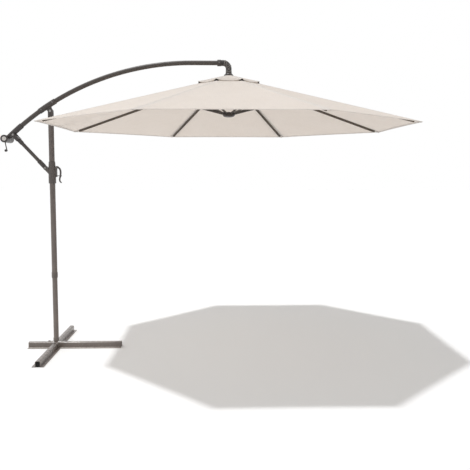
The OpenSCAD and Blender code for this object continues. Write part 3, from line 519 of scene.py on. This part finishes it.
def runTree(piece, tree, **values):
    modifier = piece.modifiers.new(tree.name, "NODES")
    modifier.node_group = tree
    names = {s.name: s.identifier for s in tree.interface.items_tree if s.item_type == "SOCKET" and s.in_out == "INPUT"}
    for label, value in values.items():
        modifier[names[label]] = value
    return bakeModifiers(piece)


def sow(tree, points, shape, rotation, size=(1, 1, 1)):  # a copy of the shape on every point
    return addNode(tree, "GeometryNodeInstanceOnPoints", {"Points": points, "Instance": shape, "Rotation": rotation,
                                                          "Scale": size}).outputs["Instances"]


stitch = dict(pitch=0.006, length=0.0044, thread=0.00045)


def stitchTree():  # thread grains laid end to end along a line
    tree, given, out = newTree("stitch line", [
        ("Pitch", "NodeSocketFloat", stitch["pitch"]), ("Length", "NodeSocketFloat", stitch["length"]),
        ("Thread", "NodeSocketFloat", stitch["thread"]), ("Finish", "NodeSocketMaterial", None)])
    thread = given.outputs["Thread"]
    line = addNode(tree, "GeometryNodeMeshToCurve", {"Mesh": given.outputs["Geometry"]})
    spots = addNode(tree, "GeometryNodeResampleCurve",
                    {"Curve": line.outputs["Curve"], "Length": given.outputs["Pitch"]}, mode="LENGTH")
    grain = addNode(tree, "GeometryNodeMeshUVSphere", {"Segments": 6, "Rings": 4, "Radius": 1.0})
    half = times(tree, given.outputs["Length"], 0.5)
    size = addNode(tree, "ShaderNodeCombineXYZ", {"X": half, "Y": thread, "Z": thread})
    drawn = addNode(tree, "GeometryNodeTransform", {"Geometry": grain.outputs["Mesh"], "Scale": size.outputs["Vector"]})
    way = addNode(tree, "GeometryNodeInputTangent")
    turn = addNode(tree, "FunctionNodeAlignRotationToVector", {"Vector": way.outputs["Tangent"]}, axis="X")
    sown = sow(tree, spots.outputs["Curve"], drawn.outputs["Geometry"], turn.outputs["Rotation"])
    endTree(tree, given, out, sown)
    return tree


def fastenerTree():  # one head on every point, facing along the point's aim
    tree, given, out = newTree("fasteners", [("Head", "NodeSocketObject", None), ("Size", "NodeSocketFloat", 1.0),
                                             ("Finish", "NodeSocketMaterial", None)])
    head = addNode(tree, "GeometryNodeObjectInfo", {"Object": given.outputs["Head"]}, transform_space="ORIGINAL")
    aim = addNode(tree, "GeometryNodeInputNamedAttribute", {"Name": "aim"}, data_type="FLOAT_VECTOR")
    turn = addNode(tree, "FunctionNodeAlignRotationToVector", {"Vector": aim.outputs["Attribute"]}, axis="Z")
    spots = addNode(tree, "GeometryNodeMeshToPoints", {"Mesh": given.outputs["Geometry"]})
    sown = sow(tree, spots.outputs["Points"], head.outputs["Geometry"], turn.outputs["Rotation"], given.outputs["Size"])
    endTree(tree, given, out, sown)
    return tree


def ringTree():  # copies of a shape turned round the Z axis, then laid on their own axis
    tree, given, out = newTree("ring of ridges", [
        ("Count", "NodeSocketInt", 12), ("Centre", "NodeSocketVector", None),
        ("Turn", "NodeSocketRotation", None), ("Finish", "NodeSocketMaterial", None)])
    spots = addNode(tree, "GeometryNodePoints", {"Count": given.outputs["Count"]})
    step = maths(tree, "DIVIDE", 2 * math.pi, given.outputs["Count"])
    turn = times(tree, addNode(tree, "GeometryNodeInputIndex").outputs["Index"], step)
    spin = addNode(tree, "ShaderNodeCombineXYZ", {"Z": turn})
    sown = sow(tree, spots.outputs["Points"], given.outputs["Geometry"], spin.outputs["Vector"])
    laid = addNode(tree, "GeometryNodeTransform", {"Geometry": sown, "Translation": given.outputs["Centre"],
                                                   "Rotation": given.outputs["Turn"]})
    endTree(tree, given, out, laid.outputs["Geometry"])
    return tree


stitchLine, fasteners, ringOfRidges = stitchTree(), fastenerTree(), ringTree()


def stitches(name, lines):  # one mesh with thread along every line
    points, edges = [], []
    for line in lines:
        start = len(points)
        points += [tuple(p) for p in line]
        edges += [(start + k, start + k + 1) for k in range(len(line) - 1)]
    return runTree(addMesh(name, points, [], edges=edges), stitchLine, Finish=threadFinish)


def placeHeads(name, head, places, material):  # places give a point and the way that the head faces
    piece = addMesh(name, [p for p, _ in places], [])
    aims = piece.data.attributes.new("aim", "FLOAT_VECTOR", "POINT")
    aims.data.foreach_set("vector", np.asarray([a for _, a in places], np.float32).ravel())
    return runTree(piece, fasteners, Head=head, Finish=material)


def headShape(name, profile, segments, cutter=None):
    points, faces = lathe(profile, segments)
    head = addMesh(name, points, faces)
    if cutter:
        cut = head.modifiers.new("recess", "BOOLEAN")
        cut.operation, cut.object, cut.solver = "DIFFERENCE", cutter, "EXACT"
        bakeModifiers(head)
    return head


# the canopy's cloth: two half gores to each rib, from its seam to the gores' middles
cloth = dict(openRadius=0.170, thickness=0.0008, sag=0.009, hemCurve=0.006, rows=150, cols=16,
             hemRoll=0.0010, hemReturn=0.022, hemLayers=0.25, crease=0.0020, pucker=0.0005,
             puckerPitch=0.034, puckerFrom=0.014, puckerSpread=0.012, stitchIn=0.003, stitchLift=0.0003,
             keepFolded=0.0562)
vent = dict(innerRadius=0.0271, radius=0.257, lift=0.014, rows=40, cols=12, droop=0.0105, cornerRise=0.004,
            cornerHalf=0.020, hemReturn=0.014, keepFolded=0.137)
tape = dict(half=0.0105, stitchAt=0.7, mostOfHalf=0.3, rise=(0.0002, 0.0006, 0.0007, 0.0006, 0.0002),
            thickness=0.0005, ribSide=0.0096)
creases = dict(slow=1.6, slowLayer=3.7, fine=5.0, fineShift=9.1, fineLayer=8.2, fineShare=0.35)
goreSlope = math.atan(tanSlope / cosHalf)  # along a gore's middle


def columnsAt(wide, tapeHalf, cols):  # from the rib, 1, to the gore's middle, 0: under the tape, then even steps
    near = np.array([0.0, tapeHalf * tape["stitchAt"], tapeHalf])
    rest = np.linspace(0, 1, cols + 1)[1:]
    return np.concatenate([1 - near / wide, (1 - near[-1] / wide) * (1 - rest)])


def creaseAt(x, y):  # broad soft creases by place, so that two halves agree where they meet
    slow = noise.noise(Vector((x * creases["slow"], y * creases["slow"], creases["slowLayer"])))
    fine = noise.noise(Vector((x * creases["fine"] + creases["fineShift"], y * creases["fine"], creases["fineLayer"])))
    return slow + creases["fineShare"] * fine


def halfWedge(i, side, r0, r1, apex, sag, curve, rows, cols, isVent):  # one half's points, weave and sewn layers
    d0, d1 = r0 * cosHalf, r1 * cosHalf
    grid, uvs, layers = [], [], []
    for d in np.linspace(d0, d1, rows + 1):  # d runs out along the gore's middle
        wide = d * tanHalf
        seam = min(tape["half"], tape["mostOfHalf"] * wide)
        u = columnsAt(wide, seam, cols)
        run = (d - d0) / (d1 - d0)
        bow = (1 - u * u) * math.sin(math.pi * run)
        e = d - curve * run ** 2 * (1 - u * u)
        w = u * e * tanHalf
        points = np.stack([e * cosHalf + w * sinHalf, side * (e * sinHalf - w * cosHalf),
                           apex - e * tanSlope / cosHalf - sag * bow], -1)
        fromRib = (1 - u) * wide
        onSeam = (fromRib <= seam * 1.001).astype(float)  # a hair more, for rounding
        if isVent:
            points[:, 2] -= vent["droop"] * (1 - u * u) * run ** 3
            points[:, 2] += vent["cornerRise"] * np.exp(-(fromRib / vent["cornerHalf"]) ** 2) * run ** 4
        else:
            soft = np.sqrt(np.clip(bow, 0, 1))
            points[:, 2] += cloth["crease"] * soft * np.array([creaseAt(p[0], p[1]) for p in ribToWorld(i, points)])
            wave = math.sin(2 * math.pi * d / cloth["puckerPitch"])
            near = np.exp(-((fromRib - cloth["puckerFrom"]) / cloth["puckerSpread"]) ** 2)
            points[:, 2] += cloth["pucker"] * wave * near
        grid.append(points)
        uvs.append(np.stack([-side * w, e / math.cos(goreSlope)], -1))
        layers.append(onSeam)
    return np.array(grid), np.array(uvs), np.array(layers)


def addHem(grid, uvs, layers, roll, back):  # rolls the outer edge under and runs it back inside
    edge, before = grid[-1], grid[-2]
    out = edge - before
    out /= np.linalg.norm(out, axis=1)[:, None]
    up = np.cross(out, np.gradient(edge, axis=0))
    up *= np.sign(up[:, 2])[:, None] / np.linalg.norm(up, axis=1)[:, None]
    rows, steps = [], []
    for k in range(1, 5):  # half a turn round the fold
        a = math.radians(45 * k)
        rows.append(edge + roll * math.sin(a) * out - roll * (1 - math.cos(a)) * up)
        steps.append(roll * a)
    for share in (0.2, 0.6, 1.0):  # then back inside
        rows.append(rows[3] - out * back * share)
        steps.append(roll * math.pi + back * share)
    inHem = np.linalg.norm(grid[-1] - grid, axis=2) <= back * 1.02  # a little more, so the last row counts
    doubled = np.maximum(layers, cloth["hemLayers"] * inHem)
    more = np.array(steps)[:, None, None] * np.array([0, 1])
    return (np.concatenate([grid, np.array(rows)]), [np.concatenate([uv, uv[-1] + more]) for uv in uvs],
            np.concatenate([doubled, np.full((len(rows), grid.shape[1]), cloth["hemLayers"])]))


def foldWithRib(piece, i):  # rides on its rib, with a mesh of its own
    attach(piece, f"rib_{i}")
    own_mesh(piece)


def sewWedge(name, i, isVent):  # two halves that meet over the rib, and the tape over their seam
    if isVent:
        cut = (vent["innerRadius"], vent["radius"], peakZ + vent["lift"], 0.0, 0.0, vent["rows"], vent["cols"])
        back, keep = vent["hemReturn"], vent["keepFolded"]
    else:
        cut = (cloth["openRadius"], canopy["radius"], peakZ, cloth["sag"], cloth["hemCurve"], cloth["rows"],
               cloth["cols"])
        back, keep = cloth["hemReturn"], cloth["keepFolded"]
    (grid, right, layers), (grid2, left, layers2) = (halfWedge(i, side, *cut, isVent) for side in (-1, 1))
    ribColumn = grid.shape[1] - 1
    grid = np.concatenate([grid[:, ::-1], grid2[:, 1:]], 1)
    layers = np.concatenate([layers[:, ::-1], layers2[:, 1:]], 1)
    rowLength = np.linalg.norm(grid[-1, ribColumn] - grid[-2, ribColumn])
    hemRow = -1 - max(1, int(round((back - cloth["stitchIn"]) / rowLength)))
    hemLine = grid[hemRow] + np.array([0, 0, cloth["stitchLift"]])
    band = grid[:, ribColumn - 2:ribColumn + 3] + np.array(tape["rise"])[:, None] * np.array([0, 0, 1])
    grid, uvs, layers = addHem(grid, [right[:, ::-1], left], layers, cloth["hemRoll"], back)
    halves = []
    for side, word, uv in ((-1, "right", uvs[0]), (1, "left", uvs[1])):
        span = slice(0, ribColumn + 1) if side < 0 else slice(ribColumn, None)
        half = grid[:, span]
        piece = addMesh(f"{name}_{word}", ribToWorld(i, half).reshape(-1, 3),
                        gridFaces(*half.shape[:2], flip=True), clothFinish)
        addUv(piece, "weave", uv.reshape(-1, 2))
        addPointValue(piece, "layers", layers[:, span])
        thicken(piece, cloth["thickness"])
        sewn = stitches(f"{name}_{word}_stitches", [ribToWorld(i, hemLine[span])])
        for made in (piece, sewn):
            foldWithRib(made, i)
        halves.append(piece)
    sewTape(name.replace("cloth", "tape"), i, band)
    return halves


def sewTape(name, i, band):  # five points wide, sewn down along its second and fourth
    piece = addMesh(name, ribToWorld(i, band).reshape(-1, 3), gridFaces(*band.shape[:2], flip=True), clothFinish)
    addUv(piece, "weave", band[..., [1, 0]].reshape(-1, 2))
    addPointValue(piece, "layers", np.ones(band.shape[:2]))
    thicken(piece, tape["thickness"])
    lift = np.array([0, 0, cloth["stitchLift"]])
    sewn = stitches(f"{name}_stitches", [ribToWorld(i, band[2:-2, c] + lift) for c in (1, 3)])
    for made in (piece, sewn):
        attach(made, f"rib_{i}")


for i in ribNumbers:
    for piece in sewWedge(f"canopy_cloth_{i}", i, False):
        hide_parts(f"canopy_panel_{i}")
    sewWedge(f"vent_cloth_{i}", i, True)
print("canopy and vent cloth made")

# dark gussets that hold the vent's raised corners; their dark is partly painted shade in the openings under these
# corners
gusset = dict(halfWidth=0.023, radius=0.2515, rows=6, cols=11, thickness=0.0012, bulge=0.0022, narrowing=0.93,
              riseShare=0.8, topClear=0.0010, footClear=0.0007)


def clothTop(x, y):  # height of the canopy's cloth over a point of the rib frame
    return peakZ - (x * cosHalf + abs(y) * sinHalf) * tanSlope / cosHalf


for i in ribNumbers:
    points, cols = [], gusset["cols"]
    top = (peakZ + vent["lift"] + vent["cornerRise"] * gusset["riseShare"] - gusset["radius"] * tanSlope
           - gusset["topClear"])
    for r in range(gusset["rows"]):
        t = r / (gusset["rows"] - 1)
        for c in range(cols):
            s = 2 * c / (cols - 1) - 1
            y = gusset["halfWidth"] * s * (1 - gusset["narrowing"] * t)
            foot = clothTop(gusset["radius"], y) + gusset["footClear"]
            out = gusset["bulge"] * math.sin(math.pi * t) * (1 - s * s)
            points.append((gusset["radius"] + out, y, foot + (top - foot) * t))
    piece = addMesh(f"vent_gusset_{i}", ribToWorld(i, points), gridFaces(gusset["rows"], cols), webbingFinish)
    thicken(piece, gusset["thickness"])
    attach(piece, f"rib_{i}")

# flat pockets over the ribs' tips, sewn to the cloth's corners
pocket = dict(inner=1.4245, outer=1.4755, rows=20, flange=0.009, clear=0.0014, tipHalf=0.0045, tipDeep=0.0040,
              endTaper=0.009, under=0.0034, sideRun=0.004, thickness=0.0007)
sideway = pocket["tipHalf"] + pocket["clear"]  # the section gives places across and shares of the depth
pocketSection = [(-sideway - pocket["flange"], 0.0), (-sideway - 0.004, 0.0), (-sideway - 0.0012, 0.08),
                 (-sideway, 0.4), (-sideway + 0.0008, 0.86), (-sideway + 0.0030, 1.0), (0.0, 1.04)]
pocketSection += [(-y, z) for y, z in reversed(pocketSection[:-1])]
for i in ribNumbers:
    points, uvs = [], []
    for k in range(pocket["rows"] + 1):
        t = k / pocket["rows"]
        for y, z in pocketSection:
            reach = pocket["outer"] - abs(y) * tanHalf
            x = pocket["inner"] + (reach - pocket["inner"]) * t
            shut = min(1.0, (reach - x) / pocket["endTaper"])
            depth = (pocket["tipDeep"] + pocket["clear"]) * math.sqrt(max(0.0, 1 - (1 - shut) ** 2))
            points.append((x - sinSlope * depth * z, y, clothTop(x, y) - pocket["under"] - depth * z * cosSlope))
            uvs.append((y + z * pocket["sideRun"], x))
    piece = addMesh(f"rib_pocket_{i}", ribToWorld(i, points), gridFaces(pocket["rows"] + 1, len(pocketSection)),
                    clothFinish)
    addUv(piece, "weave", uvs)
    addPointValue(piece, "layers", np.full(len(points), cloth["hemLayers"]))
    thicken(piece, pocket["thickness"])
    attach(piece, f"rib_{i}")
print("vent gussets and rib pockets made")

# fasteners

recess = dict(long=0.0021, short=0.00045, low=0.0022, high=0.0042)  # half sizes and heights of a screw's cross
crossLine = [(recess["long"], -recess["short"]), (recess["long"], recess["short"]), (recess["short"], recess["short"])]
for _ in range(3):
    crossLine += [(-y, x) for x, y in crossLine[-3:]]
count = len(crossLine)
crossCut = addMesh("cross_cut", [(x, y, z) for z in (recess["low"], recess["high"]) for x, y in crossLine],
                   [list(range(count - 1, -1, -1)), list(range(count, 2 * count))]
                   + [[k, (k + 1) % count, count + (k + 1) % count, count + k] for k in range(count)])

# each head's profile as radius and height
panHead = headShape("pan_head", [(0, -0.0006), (0.0039, -0.0006), (0.0041, 0.0008), (0.0037, 0.0020),
                                 (0.0028, 0.0027), (0.0014, 0.0030), (0, 0.0031)], 20, crossCut)
rivetHead = headShape("rivet_head", [(0, -0.0003), (0.0046, -0.0003), (0.0046, 0.0004), (0.0040, 0.0014),
                                     (0.0026, 0.0021), (0, 0.0024)], 16)
hexHead = headShape("hex_head", [(0, 0.0016), (0.0070, 0.0016), (0.0076, 0.0024), (0.0076, 0.0052),
                                 (0.0068, 0.0062), (0.0045, 0.0064), (0, 0.0060)], 6)
washer = headShape("washer", [(0, 0.0001), (0.0088, 0.0001), (0.0090, 0.0005), (0.0090, 0.0013),
                              (0.0086, 0.0017), (0, 0.0017)], 28)

armLine = dict(bend=2.092, top=peakZ + 0.1047, level=0.289, pivotDrop=0.0467, tail=0.319, saddle=0.150,
               sleeve=0.02205)
armScrew = dict(saddleShare=0.7, elbowBack=0.0755, elbowSide=0.02555, drumOut=0.094, drumRing=0.022, drumFace=0.070)
arcX, arcZ = canopyX - armLine["level"], armLine["top"] - armLine["bend"]
pivotZ = arcZ + math.sqrt((armLine["bend"] - armLine["pivotDrop"]) ** 2 - arcX ** 2)
saddleTurn = math.atan2(arcX, pivotZ - arcZ)


def arcPoint(a, y=0.0):  # on the arm's bend, a turned back from its level end
    return (arcX - armLine["bend"] * math.sin(a), y, arcZ + armLine["bend"] * math.cos(a))


drumAt = arcPoint(saddleTurn + (armLine["tail"] + armScrew["drumOut"]) / armLine["bend"])
screwPlaces = []
for face in (-1, 1):
    for end in (-1, 1):
        a = saddleTurn + end * armScrew["saddleShare"] * armLine["saddle"] / 2 / armLine["bend"]
        screwPlaces.append((arcPoint(a, face * armLine["sleeve"]), (0, face, 0)))
    screwPlaces.append(((canopyX - armScrew["elbowBack"], face * armScrew["elbowSide"], armLine["top"]), (0, face, 0)))
for k in range(4):
    a = math.radians(45 + 90 * k)
    x, z = drumAt[0] + armScrew["drumRing"] * math.cos(a), drumAt[2] - armScrew["drumRing"] * math.sin(a)
    screwPlaces.append(((x, armScrew["drumFace"], z), (0, 1, 0)))
armScrews = placeHeads("arm_screw_heads", panHead, screwPlaces, pinSteel)
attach(armScrews, "arm")
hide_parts("arm_screws")

baseBolt = dict(reach=0.056, capTop=0.0493)
boltPlaces = [((baseBolt["reach"] * math.cos(a), baseBolt["reach"] * math.sin(a), baseBolt["capTop"]), (0, 0, 1))
              for a in (k * math.pi / 2 for k in range(4))]
for name, head in (("base_bolt_heads", hexHead), ("base_bolt_washers", washer)):
    piece = placeHeads(name, head, boltPlaces, pinSteel)
    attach(piece, "stand")
    if name == "base_bolt_heads":
        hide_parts("base_bolts")

pinLow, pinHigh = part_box("crown_pins")
rivetGap = 0.0002
rivet = dict(x=canopy["pivotRing"] + canopy["linkLength"] * cosSlope, y=canopy["ribWidth"] / 2 + rivetGap,
             z=pinLow[2] + (pinHigh[2] - pinLow[2]) / 2 - canopy["linkLength"] * sinSlope)
for i in ribNumbers:
    spots = ribToWorld(i, [(rivet["x"], s * rivet["y"], rivet["z"]) for s in (-1, 1)])
    aims = ribToWorld(i, [(0, s, 0) for s in (-1, 1)]) - ribToWorld(i, np.zeros((2, 3)))
    piece = placeHeads(f"rib_rivets_{i}", rivetHead, list(zip(spots, aims)), pinSteel)
    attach(piece, f"rib_{i}")

# moulded bands and cross ribs that stiffen the elbow; their paler plastic is a painted highlight, and the darker elbow
# between them painted shade
webs = dict(bend=0.045, radius=0.02315, bands=(0.012, 0.054, 0.096), half=0.0030, rise=0.0022, sunk=0.0004,
            spread=52.0, bandSteps=48, crossSteps=14, sharp=35)


def elbowPoint(s, around, out):  # s runs round the bend and then down; around is 0 on the bend's outer side
    turn = min(s / webs["bend"], math.pi / 2)
    outer = Vector((math.sin(turn), 0.0, math.cos(turn)))
    middle = Vector((canopyX - webs["bend"], 0.0, armLine["top"] - webs["bend"])) + webs["bend"] * outer
    middle.z -= max(0.0, s - webs["bend"] * math.pi / 2)
    return middle + (webs["radius"] + out) * (math.cos(around) * outer + math.sin(around) * Vector((0, 1, 0)))


def webStrip(start, end, steps):  # raised strip between two places on the elbow
    run = Vector((end[0] - start[0], (end[1] - start[1]) * webs["radius"])).normalized()
    rows = []
    for k in range(steps + 1):
        s, around = (a + (b - a) * k / steps for a, b in zip(start, end))
        for across, out in ((-1, -webs["sunk"]), (-0.5, webs["rise"]), (0.5, webs["rise"]), (1, -webs["sunk"])):
            side = across * webs["half"]
            rows.append(elbowPoint(s - run.y * side, around + run.x * side / webs["radius"], out))
    return rows


webPoints, webFaces = [], []
strips = [((s, math.pi), (s, 3 * math.pi), webs["bandSteps"]) for s in webs["bands"]]
for low, high in zip(webs["bands"], webs["bands"][1:]):
    for middle in (90, 270):
        for way in (-1, 1):
            lowTurn, highTurn = (math.radians(middle + end * way * webs["spread"]) for end in (-1, 1))
            strips.append(((low, lowTurn), (high, highTurn), webs["crossSteps"]))
for strip in strips:
    start = len(webPoints)
    webPoints += webStrip(*strip)
    webFaces += [tuple(start + v for v in face) for face in gridFaces(strip[2] + 1, 4)]
elbowWebs = addMesh("elbow_webs", webPoints, webFaces, webHighlightPlastic)
elbowWebs.data.set_sharp_from_angle(angle=math.radians(webs["sharp"]))
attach(elbowWebs, "arm")

# dark plugs set back in the base bars' open ends
barEnd = dict(halfWidth=0.0157, top=0.0417, foot=0.0005, corner=0.0077, recess=0.005, thickness=0.005, rim=0.0004,
              rimShare=0.985, lip=0.86, dish=0.0015, dishShare=0.04, steps=8, sharp=40)


def archOutline(shrink):  # across and up, from one foot over the rounded top to the other
    half, top, corner = barEnd["halfWidth"] * shrink, barEnd["top"], barEnd["corner"] * shrink
    line = [(-half, barEnd["foot"])]
    for side, start in ((-1, 180), (1, 90)):
        for k in range(barEnd["steps"] + 1):
            a = math.radians(start - 90 * k / barEnd["steps"])
            line.append((side * (half - corner) + corner * math.cos(a),
                         top * (1 + shrink) / 2 - corner + corner * math.sin(a)))
    return line + [(half, barEnd["foot"])]


plugPoints, plugFaces = [], []
loops = [(1.0, barEnd["thickness"]), (1.0, barEnd["rim"]), (barEnd["rimShare"], 0.0), (barEnd["lip"], 0.0),
         (barEnd["lip"] - barEnd["dishShare"], barEnd["dish"])]
reaches = ((0.0, -1.0, 0.5), (0.0, 1.0, 0.5), (1.0, 0.0, 0.53), (-1.0, 0.0, 0.22))  # each bar end's way and reach
for dx, dy, reach in reaches:
    start = len(plugPoints)
    for shrink, back in loops:
        out = reach - barEnd["recess"] - back
        plugPoints += [(dx * out - dy * y, dy * out + dx * y, z) for y, z in archOutline(shrink)]
    count = len(archOutline(1.0))
    for k in range(len(loops) - 1):
        first, second = start + k * count, start + (k + 1) * count
        for c in range(count):
            n = (c + 1) % count
            plugFaces.append((first + c, second + c, second + n, first + n))
    plugFaces += [tuple(range(start, start + count)), tuple(range(second + count - 1, second - 1, -1))]
endPlugs = addMesh("bar_end_plugs", plugPoints, plugFaces, plugPlastic)
outward = bmesh.new()
outward.from_mesh(endPlugs.data)
bmesh.ops.recalc_face_normals(outward, faces=outward.faces)
outward.to_mesh(endPlugs.data)
outward.free()
endPlugs.data.set_sharp_from_angle(angle=math.radians(barEnd["sharp"]))
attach(endPlugs, "stand")

# grip ridges round the crank's knob

knobLow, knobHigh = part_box("crank_knob")
ridge = dict(count=18, width=0.0013, height=0.0009, sunk=0.0004, flat=0.8, inset=0.0045, length=0.010, steps=6)
knobCentre = (knobLow + knobHigh) / 2
knobRadius = (knobHigh[0] - knobLow[0]) / 2
shape, steps = [], ridge["steps"]
for k in range(steps + 1):
    t = k / steps
    lift = math.sin(math.pi * t) ** 0.5 * ridge["height"] * ridge["flat"] if 0 < k < steps else 0.0
    for y, out in ((-1, -ridge["sunk"]), (-0.5, lift), (0.5, lift), (1, -ridge["sunk"])):
        shape.append((knobRadius + out, y * ridge["width"] / 2, (t - 0.5) * ridge["length"]))
grip = addMesh("knob_ridges", shape, gridFaces(steps + 1, 4))
runTree(grip, ringOfRidges, Count=ridge["count"], Finish=fittingPlastic,
        Centre=(knobCentre[0], knobLow[1] + ridge["inset"] + ridge["length"] / 2, knobCentre[2]),
        Turn=(math.pi / 2, 0.0, 0.0))
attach(grip, "knob")
for spare in (crossCut, panHead, rivetHead, hexHead, washer):
    bpy.data.objects.remove(spare)
print("fasteners and grip made")

# floor, light, camera

studio = dict(floorHalf=40.0, floorDrop=0.0008, floorSeen=(0.875, 0.885, 0.90), floorBounce=0.80, skyLevel=0.54,
              fromLeft=0.5, sunLevel=1.62, sunAngle=2.6, sunWay=(0.2535, 0.0483, -1.0))
view = dict(lens=44.917, sensor=36.0, far=200.0, place=(1.3369, -4.7268, 1.4330), down=4.612, yaw=-1.4698,
            shiftUp=-0.0355)


def seenRays(tree):  # 1 for the rays that show the background itself
    rays = addNode(tree, "ShaderNodeLightPath").outputs
    mirrored = maths(tree, "MAXIMUM", rays["Is Glossy Ray"], rays["Is Transmission Ray"])
    return maths(tree, "MAXIMUM", rays["Is Camera Ray"], mirrored)


def paleFloor():  # shows white where nothing shades it, and bounces light as a plain matt sheet
    material, tree, shader = finish("pale_floor", (studio["floorBounce"],) * 3, 0.9)
    matt = addNode(tree, "ShaderNodeBsdfDiffuse", {"Color": (studio["floorBounce"],) * 3 + (1,)})
    shown = addNode(tree, "ShaderNodeBsdfDiffuse", {"Color": (*studio["floorSeen"], 1)})
    glow = addNode(tree, "ShaderNodeEmission", {"Color": (*[1 - c for c in studio["floorSeen"]], 1), "Strength": 1.0})
    both = addNode(tree, "ShaderNodeAddShader", {0: shown.outputs["BSDF"], 1: glow.outputs["Emission"]})
    pick = addNode(tree, "ShaderNodeMixShader", {0: seenRays(tree), 1: matt.outputs["BSDF"], 2: both.outputs["Shader"]})
    tree.links.new(pick.outputs["Shader"], tree.nodes["Material Output"].inputs["Surface"])
    tree.nodes.remove(shader)
    return material


half, floorZ = studio["floorHalf"], -studio["floorDrop"]
corners = [(x * half, y * half, floorZ) for x, y in ((-1, -1), (1, -1), (1, 1), (-1, 1))]
floor = addMesh("studio_floor", corners, [(0, 1, 2, 3)], paleFloor(), False)
floor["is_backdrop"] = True

world = bpy.data.worlds.new("studio_sky")
scene.world = world
world.use_nodes = True
sky = world.node_tree
seen = seenRays(sky)
sky.nodes["Background"].inputs["Color"].default_value = (1, 1, 1, 1)
across = partsOf(sky, addNode(sky, "ShaderNodeTexCoord").outputs["Generated"])["X"]
bright, dim = (studio["skyLevel"] * (1 + way * studio["fromLeft"]) for way in (1, -1))
level = times(sky, mapRange(sky, across, bright, dim, -1.0, 1.0), maths(sky, "SUBTRACT", 1.0, seen))
sky.links.new(maths(sky, "ADD", level, seen), sky.nodes["Background"].inputs["Strength"])

sun = bpy.data.lights.new("key", "SUN")
sun.energy, sun.angle = studio["sunLevel"], math.radians(studio["sunAngle"])
key = bpy.data.objects.new("key", sun)
key.rotation_euler = Vector(studio["sunWay"]).to_track_quat("-Z", "Y").to_euler()
scene.collection.objects.link(key)

lens = bpy.data.cameras.new("photo_view")
lens.lens, lens.sensor_width, lens.clip_end = view["lens"], view["sensor"], view["far"]
lens.shift_y = view["shiftUp"]
camera = bpy.data.objects.new("photo_view", lens)
camera.location = view["place"]
camera.rotation_euler = (math.radians(90 - view["down"]), 0.0, math.radians(view["yaw"]))
scene.collection.objects.link(camera)
scene.camera = camera
scene.view_settings.view_transform = "Standard"
print("studio ready")

low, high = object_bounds()
